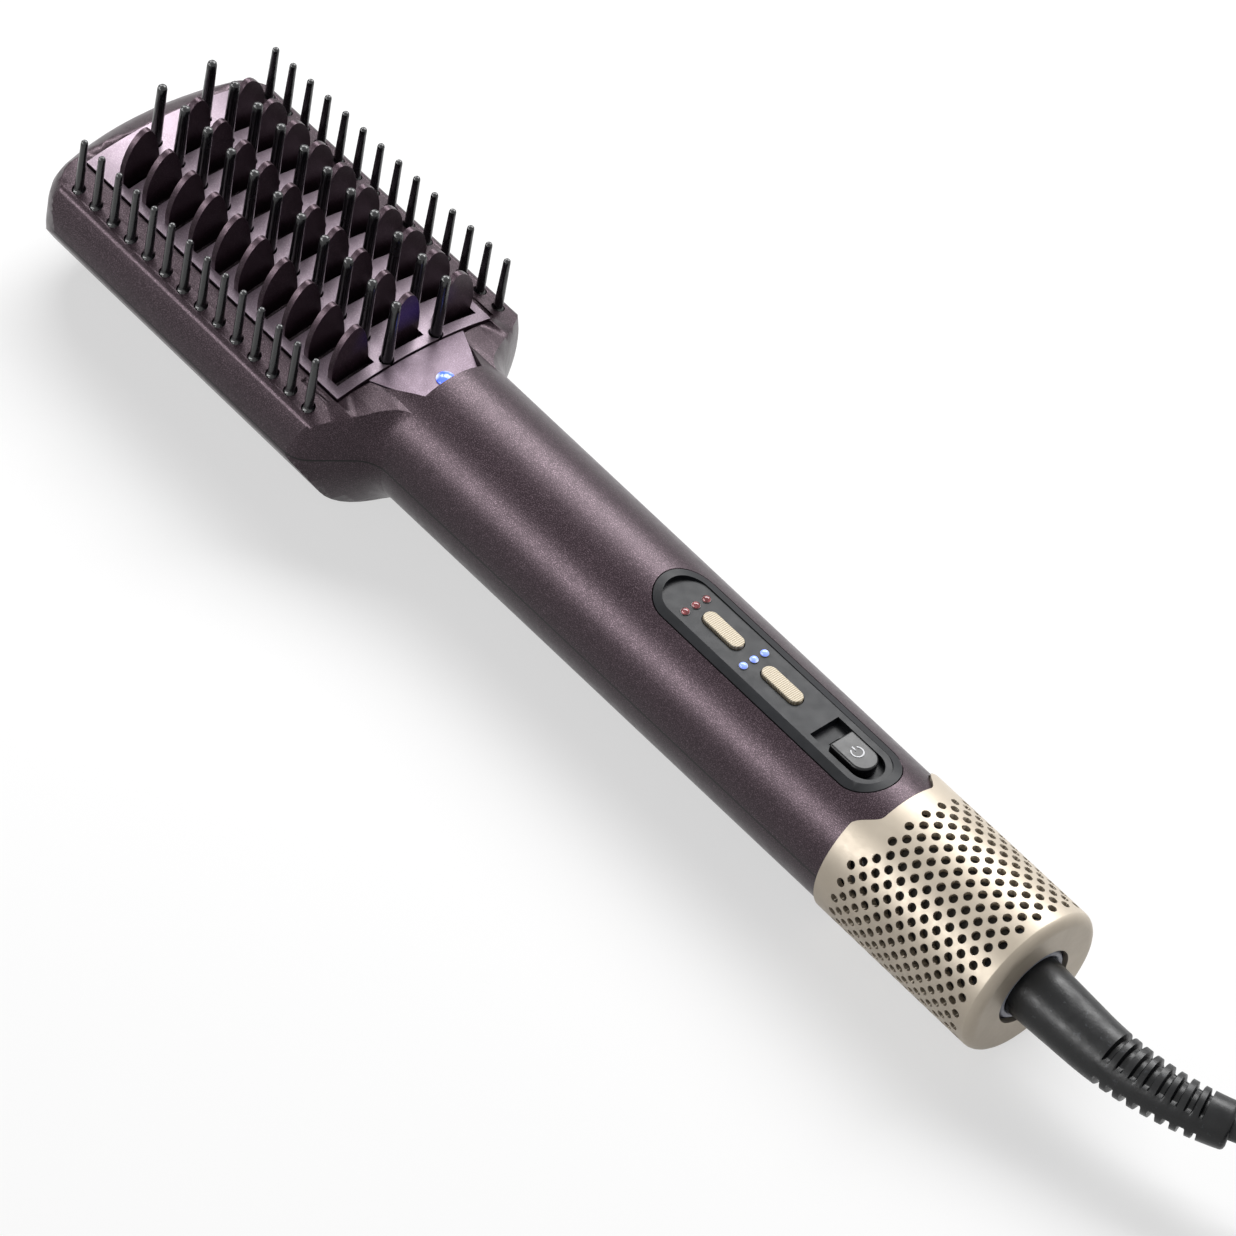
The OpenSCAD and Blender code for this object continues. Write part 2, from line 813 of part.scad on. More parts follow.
// Places across the control panel
heat_button_x = panel_x0 + heat_button_at;
speed_button_x = panel_x0 + speed_button_at;
recess_x0 = panel_x0 + recess_at;
recess_x1 = recess_x0 + recess_length;
recess_floor = panel_under + 1;
knob_x1 = recess_x1 - knob_back;
knob_x0 = knob_x1 - knob_length;
stem_length = 4.4;
stem_w = 2.8;
stem_x0 = (knob_x0 + knob_x1 - stem_length) / 2;
stem_x1 = stem_x0 + stem_length;
stem_bottom = panel_under - 0.6;
knob_clear = 0.2;
switch_w = 6.4;
switch_x0 = stem_x0 - knob_travel - 2;
switch_x1 = board_x1 - 1;
push_switch_w = 6;
push_switch_t = 1.2;
plunger_r = 1.6;
button_top = panel_floor + button_proud;
button_flange = 0.7;
button_flange_w = 0.8;
flange_top = panel_under - gap;
flange_under = flange_top - button_flange;
plunger_top = flange_under - button_travel - gap;
button_gap = 0.25;
light_proud = 0.3;
light_top = panel_floor + light_proud;

module button_outline(x, grow, z0, z1) {
  stadium(
    x - button_length / 2 - grow, x + button_length / 2 + grow, button_width + 2 * grow, z0, z1
  );
}

module three_lights(x, d, z0, z1) {
  for (i = [-1:1])
    from_axis(x, i * light_pitch, z0)
      cylinder(h = z1 - z0, d = d, $fn = 24);
}

// Dark panel with a sunken floor, set into the top of the handle
module control_panel() {
  color("#2b2b30")
    difference() {
      union() {
        intersection() {
          stadium(panel_x0, panel_x1, panel_width, panel_seat, big);
          cone_x(panel_x0 - 1, panel_x1 + 1);
        }
        stadium(
          panel_x0 + panel_lip + gap, panel_x1 - panel_lip - gap,
          panel_width - 2 * panel_lip - 2 * gap, panel_under, panel_seat + eps
        );
      }
      stadium(
        panel_x0 + panel_rim, panel_x1 - panel_rim, panel_width - 2 * panel_rim, panel_floor, big
      );
      button_outline(heat_button_x, button_gap, 0, big);
      button_outline(speed_button_x, button_gap, 0, big);
      three_lights(panel_x0 + red_lights_at, light_d + 2 * fit, 0, big);
      three_lights(panel_x0 + blue_lights_at, light_d + 2 * fit, 0, big);
      knob_recess();
      box(
        stem_x0 - knob_travel - gap, stem_x1 + gap, stem_w + 2 * gap, panel_under - 1, panel_floor
      );
    }
}

// Straight at the head's end, round at the cord's end
module knob_outline(x0, x1, w, z0, z1) {
  from_axis(0, 0, z0)
    linear_extrude(z1 - z0) {
      translate([x0, -w / 2])
        square([x1 - x0 - w / 2, w]);
      translate([x1 - w / 2, 0])
        circle(d = w);
    }
}

module knob_recess() {
  knob_outline(recess_x0, recess_x1, recess_width, recess_floor, big);
}

// Three light pipes of the heat setting
module heat_lights() {
  color("#c23a3a")
    three_lights(panel_x0 + red_lights_at, light_d, board_top, light_top);
}

// Three light pipes of the speed setting
module speed_lights() {
  color("#8fb0ff")
    three_lights(panel_x0 + blue_lights_at, light_d, board_top, light_top);
}

module button(x) {
  button_outline(x, 0, flange_under, button_top);
  button_outline(x, button_flange_w, flange_under, flange_top);
}

// Button that steps through the heat settings
module heat_button() {
  color("#d9cdb8")
    button(heat_button_x);
}

// Button that steps through the speed settings
module speed_button() {
  color("#d9cdb8")
    button(speed_button_x);
}

// Sliding knob of the power switch, drawn where the brush is off
module power_slider() {
  color("#101013") {
    knob_outline(
      knob_x0, knob_x1, knob_width, recess_floor + knob_clear, panel_floor + knob_proud
    );
    box(stem_x0, stem_x1, stem_w, stem_bottom, recess_floor + knob_clear + slip);
  }
}

// Body of the slide switch on the circuit board
module slide_switch() {
  color("#8a8d90")
    box(switch_x0, switch_x1, switch_w, board_top, stem_bottom - gap);
}

// Two push switches under the buttons
module button_switches() {
  color("#b9bbbd")
    for (x = [heat_button_x, speed_button_x]) {
      box(
        x - push_switch_w / 2, x + push_switch_w / 2, push_switch_w,
        board_top, board_top + push_switch_t
      );
      from_axis(x, 0, board_top + push_switch_t - slip)
        cylinder(h = plunger_top - board_top - push_switch_t + slip, r = plunger_r);
    }
}

// Circuit board on the two rails under the panel
module control_board() {
  color("#2f5a3a")
    box(board_x0, board_x1, board_w, board_top - board_t, board_top);
}

// Heater between the neck and the control panel
shield_x0 = neck_x + shield_from_neck;
shield_x1 = panel_x0 - gap;
shield_r = handle_r(shield_x1) - wall - gap;
shield_t = 0.6;
frame_t = 0.8;
frame_inset = 3;
frame_x0 = shield_x0 + frame_inset;
frame_x1 = shield_x1 - frame_inset;
frame_r = shield_r - shield_t - slip;
notch_depth = 3;
winding_r = frame_r - notch_depth;
frame_end = 6;
thermostat_t = 3;
thermostat_r = 4;
fuse_length = 12;
fuse_r = 1.3;

// Insulating tube round the heater
module heat_shield() {
  color("#cfc6a8")
    tube_x(shield_x0, shield_x1, shield_r, shield_r - shield_t);
}

module frame_plate() {
  linear_extrude(frame_t, center = true)
    difference() {
      translate([frame_x0, -frame_r])
        square([frame_x1 - frame_x0, 2 * frame_r]);
      for (side = [0, 1])
        mirror([0, side])
          translate([frame_x0 + frame_end, winding_r])
            square([frame_x1 - frame_x0 - 2 * frame_end, frame_r]);
    }
}

// Crossed mica plates that the heating wire is wound on
module heater_frame() {
  color("#d8cfae")
    from_axis()
      for (a = [45, 135])
        rotate([a, 0, 0])
          frame_plate();
}

// Points of the heating wire, a helix round the frame
coil_wire_r = heater_wire_d / 2;
helix_r = winding_r + coil_wire_r + fit;
helix_x0 = frame_x0 + frame_end + 1;
helix_x1 = frame_x1 - frame_end - 1;
helix_pitch = (helix_x1 - helix_x0) / heater_turns;
loop_rings = 24;
loop_sides = 6;
helix = [
  for (i = [0:heater_turns * loop_rings])
    [
      helix_x0 + helix_pitch * i / loop_rings,
      helix_r * cos(360 * i / loop_rings),
      axis_z + helix_r * sin(360 * i / loop_rings)
    ]
];

function unit(v) = v / norm(v);
function tangent(p, i) = unit(p[min(i + 1, len(p) - 1)] - p[max(i - 1, 0)]);

// One closed tube through points, with a radius for each, of flat triangles
module swept_tube(points, radii, sides, up) {
  n = len(points);
  rings = [
    for (i = [0:n - 1])
      let (t = tangent(points, i), across = unit(cross(t, up)), over = cross(across, t))
        for (k = [0:sides - 1])
          points[i] + radii[i] * (across * cos(360 * k / sides) + over * sin(360 * k / sides))
  ];
  skin = [
    for (i = [0:n - 2], k = [0:sides - 1])
      let (a = i * sides + k, b = i * sides + (k + 1) % sides)
        each [[a, a + sides, b], [b, a + sides, b + sides]]
  ];
  first = [for (k = [1:sides - 2]) [0, k, k + 1]];
  last = [for (k = [1:sides - 2]) [(n - 1) * sides, (n - 1) * sides + k + 1, (n - 1) * sides + k]];
  polyhedron(rings, concat(skin, first, last));
}

module plain_tube(points, r, sides, up) {
  swept_tube(points, [for (p = points) r], sides, up);
}

// Heating wire wound round the frame
module heater_coil() {
  color("#8c6f5a")
    plain_tube(helix, coil_wire_r, loop_sides, [1, 0, 0]);
}

// Thermostat at the heater's outlet
module thermostat() {
  color("#b5b2a8")
    disc_x(frame_x0 - thermostat_t, frame_x0, thermostat_r);
}

// Thermal fuse that lies along the heater frame
module thermal_fuse() {
  color("#c9b37a")
    from_axis((frame_x0 + frame_x1 - fuse_length) / 2, 0, (frame_t / 2 + fuse_r) / sin(45))
      rotate([0, 90, 0])
        cylinder(h = fuse_length, r = fuse_r);
}

// Vane in the head that spreads the air under the fins
module air_guide() {
  floor_z = wall - axis_z;
  x0 = front_x + front_bottom_r + wall;
  x1 = plate_x1 - 8;
  top0 = 1;
  top1 = floor_z + 2.4;
  vane_t = 2;
  vane_w = 36;
  rib_y = 11;
  color("#54434e") {
    from_axis()
      rotate([90, 0, 0])
        linear_extrude(vane_w, center = true)
          polygon([[x0, top0], [x1, top1], [x1, top1 - vane_t], [x0, top0 - vane_t]]);
    for (side = [-1, 1])
      from_axis(0, side * rib_y)
        rotate([90, 0, 0])
          linear_extrude(vane_t, center = true)
            polygon([[x0, top0 - 1], [x1, top1 - 1], [x1, floor_z], [x0, floor_z]]);
  }
}

// Motor and fan behind the circuit board
mount_t = 2.5;
mount_x1 = seam_x - 2.8;
mount_x0 = mount_x1 - mount_t;
motor_x0 = mount_x0 - motor_length;
boss_t = 1.5;
motor_bore_x = motor_x0 + 4;
mount_rim_t = 2;
spigot_r = bore_r - slip;
spoke_w = 3;
screw_d = 2;
screw_y = 6;
screw_depth = 4;
screw_head_t = 1;
fan_x0 = mount_x1 + 1.7;
fan_x1 = fan_x0 + fan_length;
fan_hub_r = 6.5;
blade_t = 1.2;
blade_pitch = 42;

module motor_screw_places() {
  for (side = [-1, 1])
    translate([0, side * screw_y, 0])
      children();
}

// Motor in the handle, on the mount's front face
module motor() {
  color("#9a9da0")
    difference() {
      union() {
        disc_x(motor_x0, mount_x0, motor_d / 2);
        disc_x(motor_x0 - boss_t, motor_x0, motor_d / 4);
      }
      disc_x(motor_bore_x, mount_x0 + 1, shaft_d / 2 + fit);
      motor_screw_places()
        disc_x(mount_x0 - screw_depth, mount_x0 + 1, screw_d / 2);
    }
}

// Spider that carries the motor in the bore of the handle, with a flat under the panel
module motor_mount() {
  color("#d6d2cc")
    difference() {
      union() {
        tube_x(mount_x0, mount_x1, spigot_r, spigot_r - mount_rim_t);
        disc_x(mount_x0, mount_x1, motor_d / 2);
        for (a = [60, 180, 300])
          from_axis()
            rotate([a, 0, 0])
              translate([mount_x0 + slip, -spoke_w / 2, 0])
                cube([mount_t - 2 * slip, spoke_w, spigot_r - mount_rim_t / 2]);
      }
      box(mount_x0 - 1, mount_x1 + 1, big, panel_under - gap, big);
      disc_x(mount_x0 - 1, mount_x1 + 1, shaft_d / 2 + gap);
      motor_screw_places()
        disc_x(mount_x0 - 1, mount_x1 + 1, screw_d / 2);
    }
}

// Two screws that hold the motor to its mount
module motor_screws() {
  color("#b4b6b8")
    motor_screw_places() {
      disc_x(mount_x0 - screw_depth, mount_x1 + eps, screw_d / 2);
      disc_x(mount_x1, mount_x1 + screw_head_t, screw_d * 0.9);
    }
}

// Shaft that turns in the motor
module motor_shaft() {
  color("#c7c9cb")
    disc_x(motor_bore_x + gap, fan_x1, shaft_d / 2);
}

// Fan wheel on the shaft
module fan_wheel() {
  blade_chord = (fan_length - blade_t * sin(blade_pitch)) / cos(blade_pitch) * 0.95;
  color("#3b6f8f")
    difference() {
      union() {
        disc_x(fan_x0, fan_x1, fan_hub_r);
        intersection() {
          for (i = [0:blade_count - 1])
            from_axis((fan_x0 + fan_x1) / 2)
              rotate([360 * i / blade_count, 0, 0])
                rotate([0, 0, blade_pitch])
                  translate([-blade_chord / 2, -blade_t / 2, fan_hub_r - 0.5])
                    cube([blade_chord, blade_t, fan_d / 2]);
          disc_x(fan_x0, fan_x1, fan_d / 2);
        }
      }
      disc_x(fan_x0 - 1, fan_x1 + 1, shaft_d / 2);
    }
}

// Intake core behind the handle, under the cover
cover_r = cover_d / 2;
cover_in_r = cover_r - cover_wall;
core_x0 = mount_x1 + slip;
core_x1 = rear_x - cover_wall - gap;
core_in_r = fan_d / 2 + 0.9;
core_wall_t = 2.5;
core_edge = cover_edge_r / 2;
core_wall_x = core_x1 - core_wall_t;
window_x0 = fan_x1 + 6;
window_x1 = core_wall_x - 6;
window_w = 9;
filter_t = 0.6;
collar_r = collar_d / 2;

// Tube with four pairs of windows and a notch under the panel, which ends in the collar's socket
module rear_core() {
  color("#4b4a50")
    difference() {
      union() {
        tube_x(core_x0, core_wall_x + eps, spigot_r, core_in_r);
        disc_x(core_wall_x, core_x1 - core_edge, cover_in_r - gap);
        along_x(core_x1 - core_edge - eps)
          cylinder(h = core_edge, r1 = cover_in_r - gap, r2 = cover_in_r - gap - core_edge);
      }
      box(core_x0 - 1, panel_x1 + gap, big, panel_under - gap, big);
      for (a = [0, 45, 90, 135])
        from_axis()
          rotate([a, 0, 0])
            translate([window_x0, -window_w / 2, -big / 2])
              cube([window_x1 - window_x0, window_w, big]);
      disc_x(core_wall_x - 1, core_x1 + 1, collar_r + fit);
    }
}

// Fine filter sleeve over the windows
module intake_filter() {
  color("#6d6a66")
    tube_x(window_x0 - 4, window_x1 + 4, spigot_r + slip + filter_t, spigot_r + slip);
}

cover_x0 = seam_x + gap;
hole_ring_x1 = rear_x - ring_back;
hole_ring_x0 = cover_x0 + ring_margin + hole_d / 2;
ring_count = floor((hole_ring_x1 - hole_ring_x0) / ring_pitch) + 1;
tongue_a = asin((tongue_width / 2 + tongue_flare / 2 + ring_margin) / cover_r);

// Perforated cover that draws back along the cord
module rear_cover() {
  color("#b8a98a")
    difference() {
      from_axis()
        rotate([0, 90, 0])
          rotate_extrude()
            polygon(concat(
              [[cover_in_r, cover_x0], [cover_r, cover_x0]],
              arc(cover_r - cover_edge_r, rear_x - cover_edge_r, cover_edge_r, 0, 90, 6),
              [[cover_bore / 2, rear_x], [cover_bore / 2, rear_x - cover_wall]],
              arc(
                cover_in_r - cover_edge_r / 2, rear_x - cover_wall - cover_edge_r / 2,
                cover_edge_r / 2, 90, 0, 3
              )
            ));
      translate([0, 0, axis_z])
        tongue_outline(gap);
      cover_holes();
    }
}

module cover_holes() {
  for (ring = [0:ring_count - 1], i = [0:holes_round - 1])
    let (
      x = hole_ring_x1 - ring * ring_pitch,
      a = 360 / holes_round * (i + (ring % 2) / 2),
      from_top = min(a, 360 - a),
      first = hole_ring_x0 + (from_top < tongue_a ? tongue_length : 0)
    )
      if (x >= first)
        from_axis(x)
          rotate([-a, 0, 0])
            translate([0, 0, cover_in_r - 1])
              cylinder(h = cover_wall + 2, d = hole_d, $fn = 16);
}

// Stations of the collar that turns in the core's socket
flange_t = 2.5;
flange_x1 = core_wall_x - gap;
flange_x0 = flange_x1 - flange_t;
collar_x1 = rear_x - cover_wall - gap;
spigot_x0 = flange_x0 - 11;
swivel_spigot_r = 4.5;
flange_r = collar_r + 2.2;
collar_edge = 0.8;
ring_t = 0.9;
ring_w = 2.6;
ring_places = [spigot_x0 + 1.5, spigot_x0 + 6];

// Collar with a flange behind the core's wall and a spigot for the slip rings
module swivel_collar() {
  color("#3c3940")
    from_axis()
      rotate([0, 90, 0])
        rotate_extrude()
          polygon([
            [0, spigot_x0], [swivel_spigot_r, spigot_x0], [swivel_spigot_r, flange_x0],
            [flange_r, flange_x0], [flange_r, flange_x1], [collar_r, flange_x1],
            [collar_r, collar_x1 - collar_edge], [collar_r - collar_edge, collar_x1], [0, collar_x1]
          ]);
}

// Two brass slip rings on the collar's spigot
module contact_rings() {
  color("#c8a24a")
    for (x = ring_places)
      tube_x(x, x + ring_w, swivel_spigot_r + ring_t, swivel_spigot_r);
}

// The strain relief is straight, then bends to the far side, with grooves along its second part
groove_edge = 0.1;
groove_share = 0.4;
groove_count = floor((boot_length - boot_smooth - cord_d) / boot_pitch);

function boot_point(s) = s < boot_straight
  ? [collar_x1 + s, 0, axis_z]
  : let (a = (s - boot_straight) / boot_bend_r * 180 / PI)
    [
      collar_x1 + boot_straight + boot_bend_r * sin(a),
      boot_bend_r * (1 - cos(a)),
      axis_z
    ];
function boot_r(s) = (boot_base_d + (boot_tip_d - boot_base_d) * s / boot_length) / 2;

boot_rings = concat(
  [[0, 0], [boot_straight / 2, 0], [boot_straight, 0]],
  [
    for (i = [0:groove_count - 1])
      let (s = boot_smooth + i * boot_pitch)
        each [
          [s, 0], [s + groove_edge, boot_groove],
          [s + boot_pitch * groove_share, boot_groove],
          [s + boot_pitch * groove_share + groove_edge, 0]
        ]
  ],
  [[boot_length - cord_d, 0], [boot_length, 0]]
);

// Moulded strain relief round the cord
module strain_relief() {
  color("#17171a")
    swept_tube(
      [for (r = boot_rings) boot_point(r[0])],
      [for (r = boot_rings) boot_r(r[0]) - r[1]],
      12, [0, 0, 1]
    );
}

// Where the cord leaves the strain relief and falls to the table, chosen by hand
cord_points = [
  [224.5, 9.7, 20.9],
  [228.5, 11.8, 20.9],
  [232.4, 14.0, 20.8],
  [236.4, 16.1, 20.4],
  [240.4, 18.2, 19.6],
  [244.3, 20.3, 18.4],
  [248.3, 22.4, 16.8],
  [252.3, 24.6, 14.9],
  [256.2, 26.7, 12.8],
  [260.2, 28.8, 10.7],
  [264.2, 30.9, 8.7],
  [268.1, 33.1, 7.0],
  [272.1, 35.2, 5.7],
  [276.1, 37.3, 4.8],
  [280.0, 39.4, 4.3],
  [284.0, 41.6, 4.2]
];
cord_heading = 28;
cord_r = cord_d / 2;
coil_gap = 0.5;
turn_pitch = cord_d + coil_gap;
coil_from = cord_points[len(cord_points) - 1];
coil_z = [coil_from[2], coil_from[2] + turn_pitch];
half_turns = coil_turns / 2;
coil_out_r = coil_r + turn_pitch * half_turns;
coil_start = coil_from + cord_d * [cos(cord_heading), sin(cord_heading), 0];
coil_centre = coil_start + coil_out_r * [sin(cord_heading), -cos(cord_heading), 0];

// The last bend starts to rise a little before the coil ends, up to the plug's height
plug_z = coil_z[1] + cord_r + gap + plug_h / 2;
lead_a = 100;
lead_steps = 14;
lead_length = PI * lead_r * lead_a / 180;
lift_from = -12;
lift_to = lead_length * 0.85;

function lift(s) = (plug_z - coil_z[1]) * smooth((s - lift_from) / (lift_to - lift_from));
function coil_a(turn) = cord_heading + 90 - 360 * turn;
function coil_radius(turn) = coil_r + turn_pitch * abs(turn - half_turns);
function coil_point(turn) =
  let (
    layer = smooth((turn - half_turns) * 2 + 0.5),
    z = coil_z[0] + turn_pitch * layer + lift((turn - coil_turns) * 2 * PI * coil_out_r)
  )
    [
      coil_centre[0] + coil_radius(turn) * cos(coil_a(turn)),
      coil_centre[1] + coil_radius(turn) * sin(coil_a(turn)),
      z
    ];

coil_end_a = coil_a(coil_turns);
lead_centre = coil_centre + (coil_out_r - lead_r) * [cos(coil_end_a), sin(coil_end_a), 0];
lead_points = [
  for (i = [1:lead_steps])
    let (a = coil_end_a - lead_a * i / lead_steps)
      [
        lead_centre[0] + lead_r * cos(a),
        lead_centre[1] + lead_r * sin(a),
        coil_z[1] + lift(lead_length * i / lead_steps)
      ]
];
plug_heading = coil_end_a - lead_a - 90;
plug_from = lead_points[lead_steps - 1] + cord_d * [cos(plug_heading), sin(plug_heading), 0];
coil_loops = [for (i = [0:coil_turns * loop_rings]) coil_point(i / loop_rings)];
coil_path = concat([coil_from], coil_loops, lead_points, [plug_from]);

least_gap = min([
  for (i = [0:len(coil_path) - 1], j = [i + 12:1:len(coil_path) - 1])
    norm(coil_path[i] - coil_path[j]) - cord_d
]);
echo(str("least gap between the coil's turns ", least_gap, " mm"));

// Free stretch of the cord from the strain relief to the coil
module cord() {
  color("#141416")
    plain_tube(cord_points, cord_r, 10, [0, 0, 1]);
}

// Rest of the cord, coiled in two layers
module cord_coil() {
  color("#141416")
    plain_tube(coil_path, cord_r, loop_sides, [0, 0, 1]);
}

// Tie round all the turns of the coil, clear of the plug
tie_share = 0.64;
tie_radii = [for (k = [0:coil_turns - 1]) coil_radius(k + tie_share)];

module cord_tie() {
  bow = coil_r - sqrt(coil_r * coil_r - tie_w * tie_w / 4);
  x0 = min(tie_radii) - cord_r - gap - bow;
  x1 = max(tie_radii) + cord_r + gap;
  z0 = coil_z[0] - cord_r - tie_t;
  z1 = coil_z[1] + cord_r + gap;
  color("#26262a")
    translate([coil_centre[0], coil_centre[1], 0])
      rotate([0, 0, coil_a(tie_share)])
        difference() {
          translate([x0 - tie_t, -tie_w / 2, z0])
            cube([x1 - x0 + 2 * tie_t, tie_w, z1 - z0 + tie_t]);
          translate([x0, -tie_w, z0 + tie_t])
            cube([x1 - x0, 2 * tie_w, z1 - z0 - tie_t]);
        }
}

// The mains plug lies on the coil
plug_neck = 12;
plug_grip = 18;
plug_face = 9;
plug_w = 36;
pin_d = 4.8;
pin_length = 19;
pin_pitch = 19;
pin_tip = 1.5;
plug_grip_w = 29;
plug_grip_h = 19;
plug_neck_r0 = cord_r + 1.4;
plug_neck_r1 = cord_r + 4;

module plug_place() {
  translate(plug_from)
    rotate([0, 0, plug_heading])
      children();
}

module plug_slab(x0, x1, w, h) {
  translate([x0, 0, 0])
    facing_x()
      linear_extrude(x1 - x0) {
        translate([h / 2 - w / 2, 0])
          circle(d = h);
        translate([w / 2 - h / 2, 0])
          circle(d = h);
        square([w - h, h], center = true);
      }
}

// Moulded body with a neck, a grip and a wider face
module plug_body() {
  color("#17171a")
    plug_place() {
      rotate([0, 90, 0])
        cylinder(h = plug_neck + eps, r1 = plug_neck_r0, r2 = plug_neck_r1);
      plug_slab(plug_neck, plug_neck + plug_grip + eps, plug_grip_w, plug_grip_h);
      plug_slab(plug_neck + plug_grip, plug_neck + plug_grip + plug_face, plug_w, plug_h);
    }
}

// Two round pins
module plug_pins() {
  color("#c9c9cb")
    plug_place()
      for (side = [-1, 1])
        translate([plug_neck + plug_grip + plug_face, side * pin_pitch / 2, 0])
          rotate([0, 90, 0])
            rotate_extrude($fn = 32)
              polygon([
                [0, 0], [pin_d / 2, 0], [pin_d / 2, pin_length - pin_tip],
                [pin_d / 4, pin_length], [0, pin_length]
              ]);
}

upper_housing();
lower_housing();
fin_plate();
near_outer_bristles();
far_outer_bristles();
near_inner_bristles();
far_inner_bristles();
neck_panel();
ion_lens();
ion_emitter();
control_panel();
heat_lights();
speed_lights();
heat_button();
speed_button();
power_slider();
slide_switch();
button_switches();
control_board();
heat_shield();
heater_frame();
heater_coil();
thermostat();
thermal_fuse();
air_guide();
motor();
motor_mount();
motor_screws();
motor_shaft();
fan_wheel();
rear_core();
intake_filter();
rear_cover();
swivel_collar();
contact_rings();
strain_relief();
cord();
cord_coil();
cord_tie();
plug_body();
plug_pins();
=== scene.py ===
import bpy
from math import atan2, cos, pi, radians, sin, sqrt, tau
from mathutils import Matrix, Vector


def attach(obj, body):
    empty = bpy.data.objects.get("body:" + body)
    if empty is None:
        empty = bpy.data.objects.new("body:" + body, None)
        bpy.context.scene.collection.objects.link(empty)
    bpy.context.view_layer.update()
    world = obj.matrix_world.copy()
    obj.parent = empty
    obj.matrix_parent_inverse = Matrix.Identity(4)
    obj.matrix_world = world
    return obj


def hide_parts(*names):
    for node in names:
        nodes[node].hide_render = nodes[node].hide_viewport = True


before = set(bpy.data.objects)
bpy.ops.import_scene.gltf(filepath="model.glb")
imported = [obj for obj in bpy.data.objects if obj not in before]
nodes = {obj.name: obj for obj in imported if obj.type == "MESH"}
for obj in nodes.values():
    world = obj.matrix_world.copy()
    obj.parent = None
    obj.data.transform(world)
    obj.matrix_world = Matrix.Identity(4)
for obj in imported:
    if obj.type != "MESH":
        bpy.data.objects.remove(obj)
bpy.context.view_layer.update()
mm = 0.001
axisZ = 20.9  # height of the handle's axis above the table, in millimetres

# Camera where the photograph was taken from, in millimetres and degrees
cameraSettings = {
    "place": (631.1, -771.6, 1083.0),
    "azimuth": 38.26,
    "elevation": 47.40,
    "roll": 13.14,
    "focalPixels": 5932.6,
    "imagePixels": 1236,
    "sensorWidth": 36,
    "clip": (0.05, 20),  # nearest and farthest distance seen, in metres
}


def addCamera(settings):
    azimuth, elevation = radians(settings["azimuth"]), radians(settings["elevation"])
    roll = radians(settings["roll"])
    back = Vector((sin(azimuth) * cos(elevation), -cos(azimuth) * cos(elevation), sin(elevation)))
    level = Vector((cos(azimuth), sin(azimuth), 0))
    above = back.cross(level)
    right = level * cos(roll) + above * sin(roll)
    up = above * cos(roll) - level * sin(roll)
    bpy.ops.object.camera_add()
    camera = bpy.context.object
    turn = Matrix((right, up, back)).transposed().to_4x4()
    camera.matrix_world = Matrix.Translation(Vector(settings["place"]) * mm) @ turn
    camera.data.sensor_width = settings["sensorWidth"]
    camera.data.lens = settings["sensorWidth"] * settings["focalPixels"] / settings["imagePixels"]
    camera.data.clip_start, camera.data.clip_end = settings["clip"]
    bpy.context.scene.camera = camera


addCamera(cameraSettings)
print("camera placed")

# Helpers for meshes


def clearSelection():
    if bpy.context.object and bpy.context.object.mode != "OBJECT":
        bpy.ops.object.mode_set(mode="OBJECT")
    bpy.ops.object.select_all(action="DESELECT")


def pick(obj):
    clearSelection()
    obj.select_set(True)
    bpy.context.view_layer.objects.active = obj


def applyPlace(obj):
    pick(obj)
    bpy.ops.object.transform_apply(location=True, rotation=True, scale=True)


def applyModifiers(obj):
    pick(obj)
    for modifier in list(obj.modifiers):
        bpy.ops.object.modifier_apply(modifier=modifier.name)


def smoothByAngle(obj, degrees):
    pick(obj)
    bpy.ops.object.shade_smooth_by_angle(angle=radians(degrees))


# Cord: the free stretch falls from the strain relief, the rest is coiled and tied, the plug lies on it.
# Lengths are in millimetres, angles in degrees
cordSettings = {
    "diameter": 6.6,
    "innerRadius": 26.6,
    "turns": 7,
    "gap": 0.5,
    "climbTurns": 0.5,  # the step up to the second layer takes half a turn
    "heading": 28,
    "leadRadius": 38,
    "leadAngle": 100,
    "leadSteps": 28,
    "liftFrom": -12,
    "liftShare": 0.85,
    "plugHeight": 21,
    "plugGap": 0.3,
    "stepsPerTurn": 48,
    "sides": 16,
    "length": 1.864,
}
cordPoints = [
    (224.5, 9.7, 20.9), (228.5, 11.8, 20.9), (232.4, 14.0, 20.8), (236.4, 16.1, 20.4),
    (240.4, 18.2, 19.6), (244.3, 20.3, 18.4), (248.3, 22.4, 16.8), (252.3, 24.6, 14.9),
    (256.2, 26.7, 12.8), (260.2, 28.8, 10.7), (264.2, 30.9, 8.7), (268.1, 33.1, 7.0),
    (272.1, 35.2, 5.7), (276.1, 37.3, 4.8), (280.0, 39.4, 4.3), (284.0, 41.6, 4.2),
]
cordRadius = cordSettings["diameter"] / 2
turnPitch = cordSettings["diameter"] + cordSettings["gap"]
halfTurns = cordSettings["turns"] / 2
coilOuterRadius = cordSettings["innerRadius"] + turnPitch * halfTurns
upperLayer = cordPoints[-1][2] + turnPitch
plugRise = cordRadius + cordSettings["plugGap"] + cordSettings["plugHeight"] / 2
leadRadius = cordSettings["leadRadius"]
leadLength = leadRadius * radians(cordSettings["leadAngle"])


def flatPoint(angle, length=1.0):
    return Vector((length * cos(angle), length * sin(angle), 0))


coilHeading = radians(cordSettings["heading"])
coilStart = Vector(cordPoints[-1]) + flatPoint(coilHeading, cordSettings["diameter"])
coilCentre = coilStart - flatPoint(coilHeading + pi / 2, coilOuterRadius)
plugHeading = coilHeading - tau * cordSettings["turns"] - radians(cordSettings["leadAngle"])


def smoothStep(share):
    share = min(max(share, 0), 1)
    return share * share * (3 - 2 * share)


